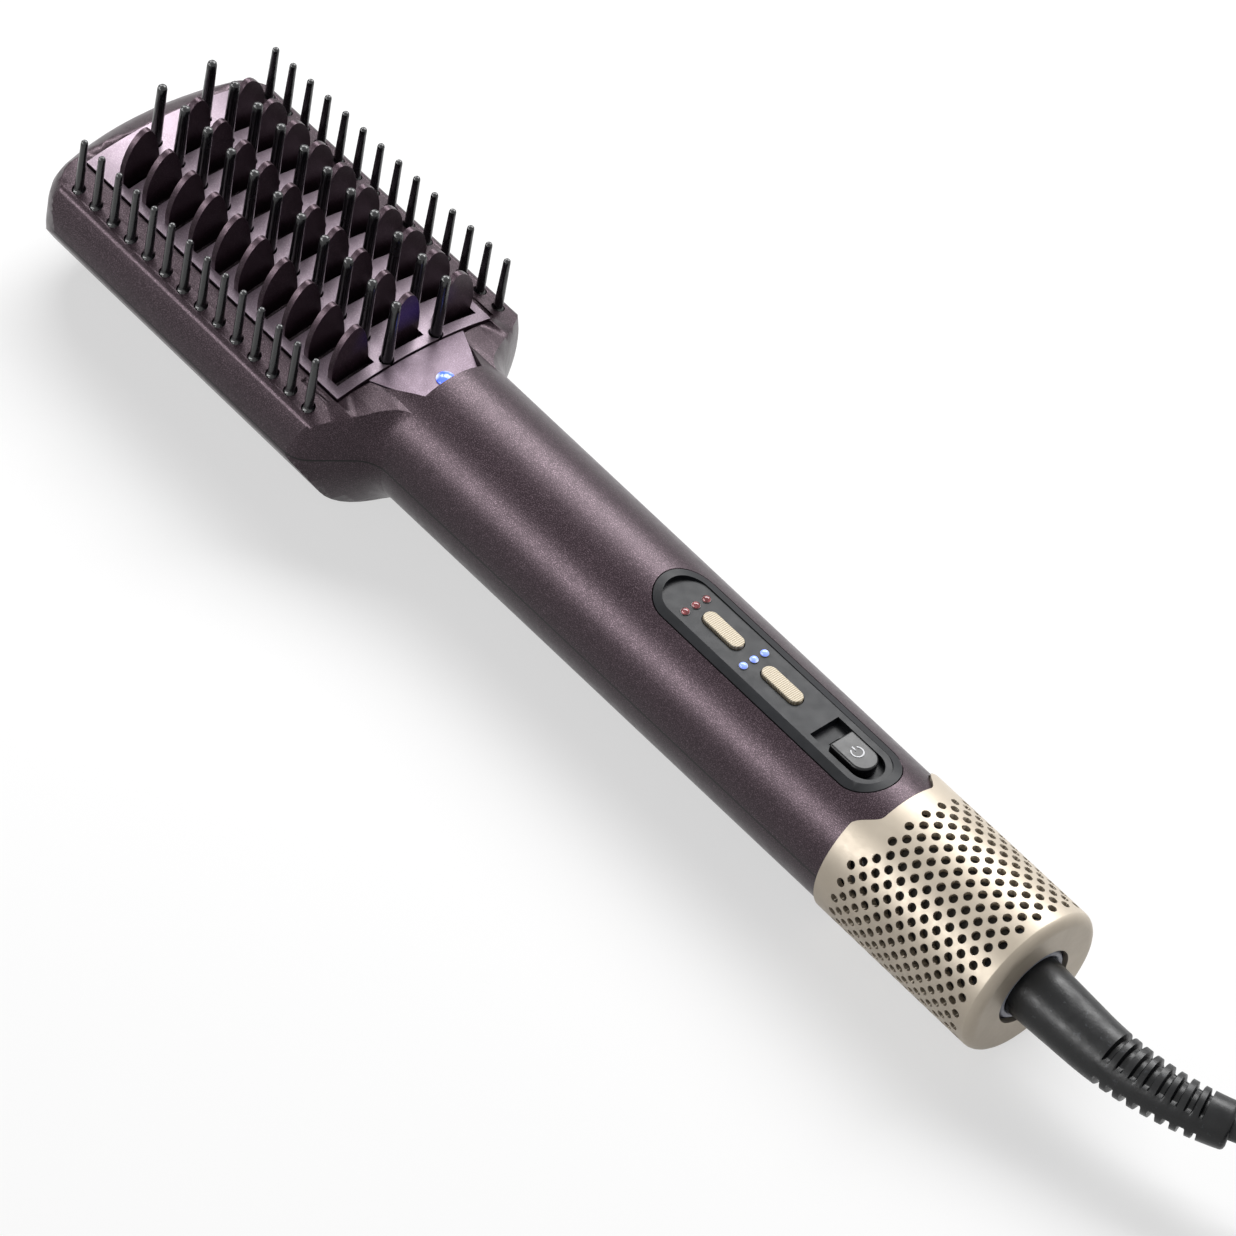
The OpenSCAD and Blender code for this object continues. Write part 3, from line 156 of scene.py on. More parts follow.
def lift(past):
    start, end = cordSettings["liftFrom"], leadLength * cordSettings["liftShare"]
    return plugRise * smoothStep((past - start) / (end - start))


def coilPoint(turn):
    angle = coilHeading + pi / 2 - tau * turn
    radius = cordSettings["innerRadius"] + turnPitch * abs(turn - halfTurns)
    past = (turn - cordSettings["turns"]) * tau * coilOuterRadius
    climb = (turn - halfTurns) / cordSettings["climbTurns"] + 0.5
    height = turnPitch * smoothStep(climb) + lift(past)
    return coilCentre + flatPoint(angle, radius) + Vector((0, 0, height))


def cordRoute():
    perTurn = cordSettings["stepsPerTurn"]
    loops = [coilPoint(i / perTurn) for i in range(cordSettings["turns"] * perTurn + 1)]
    endAngle = coilHeading + pi / 2 - tau * cordSettings["turns"]
    leadCentre = coilCentre + flatPoint(endAngle, coilOuterRadius - leadRadius)
    lead = []
    for i in range(1, cordSettings["leadSteps"] + 1):
        share = i / cordSettings["leadSteps"]
        point = leadCentre + flatPoint(endAngle - radians(cordSettings["leadAngle"]) * share, leadRadius)
        point.z = upperLayer + lift(leadLength * share)
        lead.append(point)
    end = lead[-1] + flatPoint(plugHeading, cordSettings["diameter"])
    return [Vector(p) for p in cordPoints] + loops + lead + [end]


def makeCord():
    route = cordRoute()
    curve = bpy.data.curves.new("power_cord", "CURVE")
    curve.dimensions = "3D"
    curve.bevel_depth = cordSettings["diameter"] / 2 * mm
    curve.bevel_resolution = cordSettings["sides"] // 2 - 1
    curve.use_fill_caps = True
    spline = curve.splines.new("POLY")
    spline.points.add(len(route) - 1)
    for point, place in zip(spline.points, route):
        point.co = (*(place * mm), 1)
    cord = bpy.data.objects.new("power_cord", curve)
    bpy.context.collection.objects.link(cord)
    pick(cord)
    bpy.ops.object.convert(target="MESH")
    bpy.ops.object.shade_smooth()
    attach(cord, "swivel")
    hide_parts("cord", "cord_coil")
    return cord, route


powerCord, cordPath = makeCord()
print("cord laid")

# Light: a wide softbox above and behind the handle, a long low one on the near side, a pale floor.
# Places and sizes are in metres, power is in watts
stageSettings = {
    "floorSize": 6,
    "floorColour": "#f4f4f4",
    "floorGlow": 0.62,  # share of plain white that the camera and mirrors see in the floor
    "worldStrength": 0.16,
    "softbox": {"place": (-0.5, 0.75, 1.0), "aim": (0, 0, 0.02), "size": (1.8, 0.6), "power": 34},
    "fill": {"place": (-0.6, -1.15, 0.6), "aim": (0, 0, 0.02), "size": (1.8, 0.45), "power": 23},
}


def hexColour(code):
    parts = [int(code[i:i + 2], 16) / 255 for i in (1, 3, 5)]
    return tuple(p / 12.92 if p <= 0.04045 else ((p + 0.055) / 1.055) ** 2.4 for p in parts) + (1,)


def addNode(tree, kind, settings=None, links=None):
    node = tree.nodes.new(kind)
    for name, value in (settings or {}).items():
        if name in node.bl_rna.properties:
            setattr(node, name, value)
        else:
            node.inputs[name].default_value = value
    for name, source in (links or {}).items():
        tree.links.new(source, node.inputs[name])
    return node


def addSoftbox(name, settings):
    bpy.ops.object.light_add(type="AREA")
    lamp = bpy.context.object
    lamp.name = name
    lamp.data.shape = "RECTANGLE"
    lamp.data.size, lamp.data.size_y = settings["size"]
    lamp.data.energy = settings["power"]
    place, aim = Vector(settings["place"]), Vector(settings["aim"])
    lamp.location = place
    lamp.rotation_euler = (place - aim).to_track_quat("Z", "Y").to_euler()
    return lamp


def seesBackground(tree):
    # The camera, mirrors and clear plastic all see the white background
    path = addNode(tree, "ShaderNodeLightPath")
    seen = path.outputs["Is Camera Ray"]
    for ray in ("Is Glossy Ray", "Is Transmission Ray"):
        either = addNode(tree, "ShaderNodeMath", {"operation": "MAXIMUM"})
        tree.links.new(seen, either.inputs[0])
        tree.links.new(path.outputs[ray], either.inputs[1])
        seen = either.outputs[0]
    return seen


def makeStage():
    world = bpy.data.worlds.new("studio")
    world.use_nodes = True
    bpy.context.scene.world = world
    tree = world.node_tree
    tree.nodes.clear()
    room = addNode(tree, "ShaderNodeBackground", {"Strength": stageSettings["worldStrength"]})
    white = addNode(tree, "ShaderNodeBackground", {"Strength": 1})
    mix = addNode(tree, "ShaderNodeMixShader")
    tree.links.new(seesBackground(tree), mix.inputs[0])
    tree.links.new(room.outputs[0], mix.inputs[1])
    tree.links.new(white.outputs[0], mix.inputs[2])
    room.inputs["Color"].default_value = (1, 1, 1, 1)
    white.inputs["Color"].default_value = (1, 1, 1, 1)
    addNode(tree, "ShaderNodeOutputWorld", links={"Surface": mix.outputs[0]})

    clearSelection()
    bpy.ops.mesh.primitive_plane_add(size=stageSettings["floorSize"])
    floor = bpy.context.object
    floor.name = "floor"
    paper = bpy.data.materials.new("whitePaperSweep")  # matt white card: soft shadows, no shine
    paper.use_nodes = True
    paper.node_tree.nodes.clear()
    tree = paper.node_tree
    card = addNode(tree, "ShaderNodeBsdfDiffuse", {"Color": hexColour(stageSettings["floorColour"])})
    glow = addNode(tree, "ShaderNodeEmission", {"Strength": 1})
    share = addNode(tree, "ShaderNodeMath", {"operation": "MULTIPLY"})
    tree.links.new(seesBackground(tree), share.inputs[0])
    share.inputs[1].default_value = stageSettings["floorGlow"]
    sheet = addNode(tree, "ShaderNodeMixShader")
    tree.links.new(share.outputs[0], sheet.inputs[0])
    tree.links.new(card.outputs[0], sheet.inputs[1])
    tree.links.new(glow.outputs[0], sheet.inputs[2])
    addNode(tree, "ShaderNodeOutputMaterial", links={"Surface": sheet.outputs[0]})
    floor.data.materials.append(paper)
    addSoftbox("softbox", stageSettings["softbox"])
    fill = addSoftbox("fill", stageSettings["fill"])
    fill.visible_diffuse = False  # it only draws the long highlight, the shadow stays dark
    bpy.context.scene.view_settings.view_transform = "Standard"


makeStage()
print("stage ready")

# Finishes. Pattern sizes are in millimetres


def newFinish(name, colour, roughness, settings=None):
    material = bpy.data.materials.new(name)
    material.use_nodes = True
    shader = material.node_tree.nodes["Principled BSDF"]
    shader.inputs["Base Color"].default_value = hexColour(colour)
    shader.inputs["Roughness"].default_value = roughness
    for key, value in (settings or {}).items():
        shader.inputs[key].default_value = value
    return material, material.node_tree, shader


def objectPlace(tree, stretch=None):
    place = addNode(tree, "ShaderNodeTexCoord").outputs["Object"]
    if stretch:
        place = addNode(
            tree, "ShaderNodeMapping", {"Scale": stretch}, {"Vector": place}
        ).outputs["Vector"]
    return place


def speckle(tree, place, size, low, high, darkest, lightest):
    spots = addNode(tree, "ShaderNodeTexNoise", {"Scale": 1 / (size * mm), "Detail": 3}, {"Vector": place})
    return addNode(
        tree, "ShaderNodeMapRange",
        {"From Min": low, "From Max": high, "To Min": darkest, "To Max": lightest},
        {"Value": spots.outputs["Fac"]},
    ).outputs["Result"]


def blendColours(tree, factor, first, second):
    mix = addNode(tree, "ShaderNodeMix", {"data_type": "RGBA"})
    tree.links.new(factor, mix.inputs["Factor"])
    for socket, colour in ((mix.inputs[6], first), (mix.inputs[7], second)):
        if isinstance(colour, str):
            socket.default_value = hexColour(colour)
        else:
            tree.links.new(colour, socket)
    return mix.outputs[2]


def tint(tree, shader, factor, first, second):
    tree.links.new(blendColours(tree, factor, first, second), shader.inputs["Base Color"])


def relief(tree, shader, height, depth, strength=1.0):
    bump = addNode(
        tree, "ShaderNodeBump", {"Strength": strength, "Distance": depth * mm}, {"Height": height}
    )
    tree.links.new(bump.outputs["Normal"], shader.inputs["Normal"])


def nearHeight(tree, place, height, half, soft):
    # 1 within half a width of a level, 0 past its soft edge
    parts = addNode(tree, "ShaderNodeSeparateXYZ", {}, {"Vector": place})
    off = addNode(tree, "ShaderNodeMath", {"operation": "SUBTRACT"})
    tree.links.new(parts.outputs["Z"], off.inputs[0])
    off.inputs[1].default_value = height * mm
    size = addNode(tree, "ShaderNodeMath", {"operation": "ABSOLUTE"})
    tree.links.new(off.outputs[0], size.inputs[0])
    return addNode(
        tree, "ShaderNodeMapRange",
        {"From Min": half * mm, "From Max": (half + soft) * mm, "To Min": 1, "To Max": 0},
        {"Value": size.outputs[0]},
    ).outputs["Result"]


pearlSettings = {
    "fleck": 0.22,  # flakes are finer than this, but would not show
    "grain": 0.4,
    "seamHalf": 0.22,
    "seamSoft": 0.12,
    # near-black of the seam band: painted shade of the gap between the mouldings
    "seamShadeColour": "#050304",
    "coat": 0.12,
    "coatRoughness": 0.34,
    "depth": 0.01,
}


def pearlPaint(name, colour, light, roughness, metallic, seam=False):
    # Pearl lacquer on moulded ABS: dark plum in the shade, a broad lilac sheen under the light, fine flecks
    p = pearlSettings
    material, tree, shader = newFinish(
        name, colour, roughness,
        {"Metallic": metallic, "Coat Weight": p["coat"], "Coat Roughness": p["coatRoughness"]},
    )
    place = objectPlace(tree)
    fleck = speckle(tree, place, p["fleck"], 0.5, 0.78, 0, 1)
    paint = blendColours(tree, fleck, colour, light)
    height = speckle(tree, place, p["grain"], 0.3, 0.7, 0, 1)
    if seam:
        # Painted shade: a fine near-black band where the two mouldings meet, standing in for the shadow in
        # the gap between them
        seamShade = nearHeight(tree, place, axisZ, p["seamHalf"], p["seamSoft"])
        paint = blendColours(tree, seamShade, paint, p["seamShadeColour"])
    tree.links.new(paint, shader.inputs["Base Color"])
    tree.links.new(
        speckle(tree, place, 2.5, 0.35, 0.65, roughness - 0.03, roughness + 0.04),
        shader.inputs["Roughness"],
    )
    relief(tree, shader, height, p["depth"], 0.3)
    return material


def mouldedPlastic(name, colour, other, roughness, grain=0.35, depth=0.02, extras=None):
    # Moulded ABS or nylon: even colour with a slight cloud, and the mould's fine spark texture
    material, tree, shader = newFinish(name, colour, roughness, extras)
    place = objectPlace(tree)
    tint(tree, shader, speckle(tree, place, 9, 0.35, 0.65, 0, 1), colour, other)
    tree.links.new(
        speckle(tree, place, grain * 3, 0.3, 0.7, roughness - 0.04, roughness + 0.05),
        shader.inputs["Roughness"],
    )
    relief(tree, shader, speckle(tree, place, grain, 0.3, 0.7, 0, 1), depth, 0.5)
    return material


def wornRubber(name, colour, scuff, roughness):
    # Soft black PVC that has been handled: a dull shine that changes along it, and small pale scuffs
    material, tree, shader = newFinish(name, colour, roughness, {"Specular IOR Level": 0.35})
    place = objectPlace(tree)
    tint(tree, shader, speckle(tree, place, 1.6, 0.64, 0.74, 0, 1), colour, scuff)
    tree.links.new(
        speckle(tree, place, 3.5, 0.3, 0.7, roughness - 0.08, roughness + 0.12),
        shader.inputs["Roughness"],
    )
    relief(tree, shader, speckle(tree, place, 0.8, 0.3, 0.7, 0, 1), 0.03, 0.5)
    return material


def ribbedPlastic(name, colour, other, roughness, pitch):
    # Satin ABS with fine ribs across, for grip; the grooves between the ribs take the darker second colour
    # as painted shade
    material, tree, shader = newFinish(name, colour, roughness)
    place = objectPlace(tree)
    ribs = addNode(
        tree, "ShaderNodeTexWave",
        {"wave_type": "BANDS", "bands_direction": "X", "Scale": tau / (20 * pitch * mm), "Distortion": 0},
        {"Vector": place},
    ).outputs["Fac"]
    # Painted shade: the darker colour lies in the grooves, the lighter one on the crests
    tint(tree, shader, ribs, other, colour)
    relief(tree, shader, ribs, 0.12, 0.8)
    return material


def satinMetal(name, colour, other, roughness, stretch, metallic=1.0, depth=0.012):
    # Drawn or turned metal: bright, with hairlines along the way that it was worked
    material, tree, shader = newFinish(name, colour, roughness, {"Metallic": metallic})
    lines = objectPlace(tree, stretch)
    tint(tree, shader, speckle(tree, lines, 0.4, 0.3, 0.7, 0, 1), colour, other)
    tree.links.new(
        speckle(tree, lines, 0.5, 0.3, 0.7, roughness - 0.06, roughness + 0.06),
        shader.inputs["Roughness"],
    )
    relief(tree, shader, speckle(tree, lines, 0.3, 0.3, 0.7, 0, 1), depth, 0.4)
    return material


def litPlastic(name, colour, core, strength, cell=1.2):
    # Clear tinted polycarbonate over a small lamp: facets and a soft glow, brightest in the middle
    material, tree, shader = newFinish(
        name, colour, 0.12, {"Coat Weight": 0.5, "Emission Strength": strength}
    )
    facets = addNode(
        tree, "ShaderNodeTexVoronoi", {"Scale": 1 / (cell * mm)}, {"Vector": objectPlace(tree)}
    )
    glow = addNode(
        tree, "ShaderNodeMapRange",
        {"From Min": 0.15, "From Max": 0.6, "To Min": 1, "To Max": 0},
        {"Value": facets.outputs["Distance"]},
    ).outputs["Result"]
    tree.links.new(blendColours(tree, glow, colour, core), shader.inputs["Emission Color"])
    return material


lensSettings = {
    "place": (-47.1, 0, 39.4),
    "glow": "#5a3fd8",
    "glowStrength": 0.16,
    "glowReach": (8, 25),  # the glow fades between these distances
    "glowLevel": 54,  # and away from this height
    "glowHalf": 7,
    "glowSoft": 6,
    "bulgeAbove": 38,
    "bulge": 1.15,
}


def lensGlow(material):
    # Violet light from the lens, on the upper part of the faces that look at it
    lens = lensSettings
    tree = material.node_tree
    shader = tree.nodes["Principled BSDF"]
    away = addNode(tree, "ShaderNodeVectorMath", {"operation": "DISTANCE"})
    tree.links.new(objectPlace(tree), away.inputs[0])
    away.inputs[1].default_value = [p * mm for p in lens["place"]]
    near = addNode(
        tree, "ShaderNodeMapRange",
        {
            "From Min": lens["glowReach"][0] * mm, "From Max": lens["glowReach"][1] * mm,
            "To Min": 1, "To Max": 0,
        },
        {"Value": away.outputs["Value"]},
    ).outputs["Result"]
    normal = addNode(tree, "ShaderNodeNewGeometry").outputs["Normal"]
    facing = addNode(tree, "ShaderNodeSeparateXYZ", {}, {"Vector": normal}).outputs["X"]
    high = nearHeight(tree, objectPlace(tree), lens["glowLevel"], lens["glowHalf"], lens["glowSoft"])
    share = addNode(tree, "ShaderNodeMath", {"operation": "MULTIPLY", "use_clamp": True})
    tree.links.new(near, share.inputs[0])
    tree.links.new(facing, share.inputs[1])
    seen = addNode(tree, "ShaderNodeMath", {"operation": "MULTIPLY"})
    tree.links.new(share.outputs[0], seen.inputs[0])
    tree.links.new(high, seen.inputs[1])
    glow = blendColours(tree, seen.outputs[0], "#000000", lens["glow"])
    tree.links.new(glow, shader.inputs["Emission Color"])
    shader.inputs["Emission Strength"].default_value = lens["glowStrength"]


plumPearl = pearlPaint("plumPearlLacquer", "#22101a", "#6e5d66", 0.36, 0.62, True)
plumFins = pearlPaint("plumPearlFins", "#2c1924", "#66545e", 0.38, 0.6)
lensGlow(plumFins)
# Paler copy of the plum lacquer: painted sheen for the fin plate's upward faces
plumPlatePaintedSheen = pearlPaint("plumPearlPlatePaintedSheen", "#776874", "#a4989f", 0.38, 0.5)
# Paler copy of the plum lacquer for the upward neck panel: painted sheen of the overhead light
plumPanelPaintedSheen = pearlPaint("plumPearlPanelPaintedSheen", "#584854", "#847585", 0.4, 0.5)
blackNylon = mouldedPlastic(
    "blackNylonBristle", "#0c0d0f", "#131418", 0.24, 1.5, 0.004, {"Coat Weight": 0.2}
)
graphitePanel = mouldedPlastic(
    "graphiteSatinAbs", "#0d0f13", "#121419", 0.42, 1.0, 0.004, {"Specular IOR Level": 0.22}
)
blackGloss = mouldedPlastic(
    "polishedBlackAbs", "#0c0c0e", "#121215", 0.3, 0.8, 0.004, {"Specular IOR Level": 0.35}
)
# The second, darker colour is painted shade in the grooves between the ribs
creamButton = ribbedPlastic("champagneButtonAbs", "#e6dac4", "#b3a386", 0.38, 0.55)
champagne = mouldedPlastic(
    "champagneSatinPaint", "#bbb0a0", "#b3a898", 0.44, 0.5, 0.008, {"Metallic": 0.4}
)
# Plum-grey collar plastic lightened to a pale blue-grey: partly its own colour, partly painted light on a
# face that sits in the bore's shade
collarGreyPaintedLight = mouldedPlastic("plumGreyCollarAbsPaintedLight", "#878b98", "#9195a2", 0.35)
cordRubber = mouldedPlastic("cordPvc", "#141416", "#1b1b1e", 0.5, 0.5, 0.03)
bootRubber = wornRubber("strainReliefPvc", "#0b0c0e", "#3a3c40", 0.36)
plugPvc = mouldedPlastic("plugPvc", "#161618", "#1d1d20", 0.45, 0.6, 0.04)
tieStrap = mouldedPlastic("wovenTieStrap", "#17171a", "#232327", 0.85, 0.6, 0.15)
redLight = litPlastic("redLightPipe", "#5c1218", "#d4696c", 0.55, 1.6)
blueLight = litPlastic("blueLightPipe", "#7f97f2", "#f2f6ff", 1.0, 1.6)
blueLens = litPlastic("ionLensPolycarbonate", "#4a69f7", "#f6f9ff", 1.25, 2.4)
whiteInk = mouldedPlastic("whitePrint", "#d9dadd", "#cfd0d4", 0.5)
darkRing = mouldedPlastic("darkLightRing", "#0b0b0d", "#101114", 0.25)
whiteCeramic = mouldedPlastic("steatiteWhite", "#d9d6cf", "#cdc9c0", 0.5)
micaSheet = mouldedPlastic("pressedMica", "#b9a878", "#cdbf94", 0.35, 1.2, 0.05)
heatingWire = satinMetal("oxidisedNichrome", "#6e5e55", "#584a42", 0.45, (1, 1, 1))
stampedSteel = satinMetal("stampedSteel", "#b4b6b8", "#a6a8ab", 0.3, (0.1, 1, 1))
drawnSteel = satinMetal("drawnSteelCan", "#a3a6a9", "#94979a", 0.32, (0.08, 1, 1))
zincSteel = satinMetal("zincPlatedSteel", "#bfc2c4", "#b2b4b2", 0.28, (1, 0.2, 1))
nickel = satinMetal("nickelPlatedBrass", "#d6d4ce", "#c9c7c1", 0.18, (1, 1, 0.1))
brass = satinMetal("turnedBrass", "#c9a24b", "#b98f3c", 0.25, (1, 0.1, 0.1))
solderMask = mouldedPlastic("greenSolderMask", "#1f5a37", "#256642", 0.3)
fanNylon = mouldedPlastic("blueFanNylon", "#3b6a84", "#45748f", 0.4)
graphiteCore = mouldedPlastic("graphiteCoreNylon", "#2a2a2e", "#313136", 0.5)
filterMesh = mouldedPlastic("wovenFilterMesh", "#3c3a37", "#57534e", 0.7, 0.5, 0.12)


def dress(obj, *materials):
    obj.data.materials.clear()
    for material in materials:
        obj.data.materials.append(material)


# Inner pieces keep their CAD meshes
innerFinishes = {
    "ion_emitter": whiteCeramic,
    "slide_switch": stampedSteel,
    "button_switches": stampedSteel,
    "control_board": solderMask,
    "heat_shield": micaSheet,
    "heater_frame": micaSheet,
    "heater_coil": heatingWire,
    "thermostat": stampedSteel,
    "thermal_fuse": whiteCeramic,
    "air_guide": plumPearl,
    "motor": drawnSteel,
    "motor_mount": whiteCeramic,
    "motor_screws": zincSteel,
    "motor_shaft": zincSteel,
    "fan_wheel": fanNylon,
    "rear_core": graphiteCore,
    "intake_filter": filterMesh,
    "contact_rings": brass,
    "plug_pins": nickel,
}
for name, material in innerFinishes.items():
    dress(nodes[name], material)
dress(powerCord, cordRubber)
print("finishes made")

# Outer pieces: a copy of the CAD piece, merged, with broken edges and softened shading
outerPieces = {
    "upper_housing": {"body": "housing", "slot": "plum_shell", "finish": plumPearl, "smooth": 28},
    "lower_housing": {"body": "housing", "slot": "plum_shell_lower", "finish": plumPearl, "smooth": 28},
    "fin_plate": {"body": "housing", "slot": "plum_plate", "finish": plumFins, "edge": 0.25, "smooth": 30},
    "near_outer_bristles": {"body": "housing", "slot": "black_bristle", "finish": blackNylon, "smooth": 40},
    "far_outer_bristles": {"body": "housing", "slot": "black_bristle", "finish": blackNylon, "smooth": 40},
    "near_inner_bristles": {"body": "housing", "slot": "black_bristle", "finish": blackNylon, "smooth": 40},
    "far_inner_bristles": {"body": "housing", "slot": "black_bristle", "finish": blackNylon, "smooth": 40},
    "neck_panel": {"body": "housing", "slot": "lilac_panel", "finish": plumPanelPaintedSheen, "smooth": 30},
    "ion_lens": {"body": "housing", "slot": "blue_lens", "finish": blueLens, "smooth": 25},
    "control_panel": {
        "body": "housing", "slot": "graphite_panel", "finish": graphitePanel, "edge": 0.6, "smooth": 30,
    },
    "heat_button": {
        "body": "heat_key", "slot": "cream_button", "finish": creamButton, "edge": 0.6, "smooth": 30,
    },
    "speed_button": {
        "body": "speed_key", "slot": "cream_button", "finish": creamButton, "edge": 0.6, "smooth": 30,
    },
    "power_slider": {
        "body": "power_key", "slot": "black_knob", "finish": blackGloss, "edge": 0.6, "smooth": 30,
    },
    "rear_cover": {"body": "cover", "slot": "champagne_cover", "finish": champagne, "smooth": 35},
    "swivel_collar": {
        "body": "swivel", "slot": "plum_grey_collar", "finish": collarGreyPaintedLight, "edge": 0.3, "smooth": 30,
    },
    "cord_tie": {"body": "swivel", "slot": "tie_strap", "finish": tieStrap, "edge": 0.3, "smooth": 30},
    "plug_body": {"body": "swivel", "slot": "plug_rubber", "finish": plugPvc, "edge": 1.6, "smooth": 40},
}

softSettings = {
    "merge": 0.002,
    "flat": 0.2,  # degrees: faces flatter than this are joined before their edges are broken
    "sharp": 40,
    "edgeSteps": 3,
    "weight": 90,
}


def softCopy(name, settings):
    mesh = nodes[name].data.copy()
    copy = bpy.data.objects.new(name + "_dressed", mesh)
    bpy.context.collection.objects.link(copy)
    pick(copy)
    bpy.ops.object.mode_set(mode="EDIT")
    bpy.ops.mesh.select_all(action="SELECT")
    bpy.ops.mesh.remove_doubles(threshold=softSettings["merge"] * mm)
    if "edge" in settings:
        bpy.ops.mesh.dissolve_limited(angle_limit=radians(softSettings["flat"]))
    bpy.ops.object.mode_set(mode="OBJECT")
    if "edge" in settings:
        edge = copy.modifiers.new("edge", "BEVEL")
        edge.width = settings["edge"] * mm
        edge.segments = softSettings["edgeSteps"]
        edge.limit_method = "ANGLE"
        edge.angle_limit = radians(softSettings["sharp"])
        edge.use_clamp_overlap = True
        applyModifiers(copy)
    smoothByAngle(copy, settings["smooth"])
    weigh = copy.modifiers.new("weigh", "WEIGHTED_NORMAL")
    weigh.keep_sharp = True
    weigh.weight = softSettings["weight"]
    applyModifiers(copy)
    dress(copy, settings["finish"])
    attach(copy, settings["body"])
    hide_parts(name)
    return copy


dressed = {name: softCopy(name, settings) for name, settings in outerPieces.items()}

# Painted sheen: the plate's upward faces get a paler copy of the plum lacquer, standing in for the overhead
# light on them; the fins keep the dark lacquer
plateSettings = {"facing": 0.6, "below": 39.6}
finPlate = dressed["fin_plate"]
finPlate.data.materials.append(plumPlatePaintedSheen)
for face in finPlate.data.polygons:
    # Upward faces below the fin tips take the painted sheen
    pale = face.normal.z > plateSettings["facing"] and face.center.z < plateSettings["below"] * mm
    face.material_index = 1 if pale else 0

# Handle and rear cover are nearly one cylinder: radius, how far a point may lie from it, facing
roundSettings = {"radius": 20.6, "reach": 0.6, "facing": 0.97}


def roundNormals(obj):
    # Exact shading on a turned surface: each corner's normal points away from the handle's axis
    mesh = obj.data
    radius, reach = roundSettings["radius"] * mm, roundSettings["reach"] * mm
    normals = [Vector(c.vector) for c in mesh.corner_normals]
    for face in mesh.polygons:
        for loop in face.loop_indices:
            point = mesh.vertices[mesh.loops[loop].vertex_index].co
            out = Vector((0, point.y, point.z - axisZ * mm))
            outward = face.normal.dot(out.normalized()) > roundSettings["facing"]
            if abs(out.length - radius) < reach and outward:
                normals[loop] = out.normalized()
    mesh.normals_split_custom_set(normals)


# The lit lens bulges a little past the hole in the panel
lensCentre = Vector(lensSettings["place"]) * mm
for vertex in dressed["ion_lens"].data.vertices:
    if vertex.co.z > lensSettings["bulgeAbove"] * mm:
        vertex.co = lensCentre + (vertex.co - lensCentre) * lensSettings["bulge"]
for name in ("rear_cover", "upper_housing", "lower_housing"):
    roundNormals(dressed[name])
print("outer pieces dressed")

# Light pipes: three small domes in dark rings
lightSettings = {
    "diameter": 2.2, "pitch": 3.5, "level": 39.95, "dome": 0.75, "root": 2, "ring": 0.22, "ringFlat": 0.6,
    "shadeAngle": 50,
}
lightRows = {
    "heat_lights": {"x": 44.9, "finish": redLight, "slot": "red_light"},
    "speed_lights": {"x": 65.7, "finish": blueLight, "slot": "blue_light"},
}


def lightDome(x, y):
    radius = lightSettings["diameter"] / 2 * mm
    place = (x * mm, y * mm, lightSettings["level"] * mm)
    bpy.ops.mesh.primitive_uv_sphere_add(segments=24, ring_count=12, radius=radius, location=place)
    dome = bpy.context.object
    dome.scale.z = lightSettings["dome"]
    applyPlace(dome)
    pick(dome)
    bpy.ops.object.mode_set(mode="EDIT")
    bpy.ops.mesh.select_all(action="SELECT")
    bpy.ops.mesh.bisect(plane_co=place, plane_no=(0, 0, 1), clear_inner=True)
    bpy.ops.mesh.extrude_region_move(TRANSFORM_OT_translate={"value": (0, 0, -lightSettings["root"] * mm)})
    bpy.ops.mesh.edge_face_add()
    bpy.ops.object.mode_set(mode="OBJECT")
    bpy.ops.mesh.primitive_torus_add(
        major_segments=32, minor_segments=8, location=place,
        major_radius=radius, minor_radius=lightSettings["ring"] * mm,
    )
    ring = bpy.context.object
    ring.scale.z = lightSettings["ringFlat"]
    applyPlace(ring)
    return dome, ring


def makeLights(name, settings):
    pieces = []
    for step in (-1, 0, 1):
        dome, ring = lightDome(settings["x"], step * lightSettings["pitch"])
        dress(dome, settings["finish"])
        dress(ring, darkRing)
        pieces += [dome, ring]
    clearSelection()
    for piece in pieces:
        piece.select_set(True)
    bpy.context.view_layer.objects.active = pieces[0]
    bpy.ops.object.join()
    row = bpy.context.object
    row.name = name + "_domes"
    smoothByAngle(row, lightSettings["shadeAngle"])
    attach(row, "housing")
    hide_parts(name)


for name, settings in lightRows.items():
    makeLights(name, settings)
print("lights made")

# Generic power sign printed on the knob: an open ring and a bar
signSettings = {
    "x": 101.75, "level": 41.16, "radius": 1.55, "stroke": 0.22, "flat": 0.3,
    "gap": 34, "bar": 1.5, "barPlace": 0.75,
}


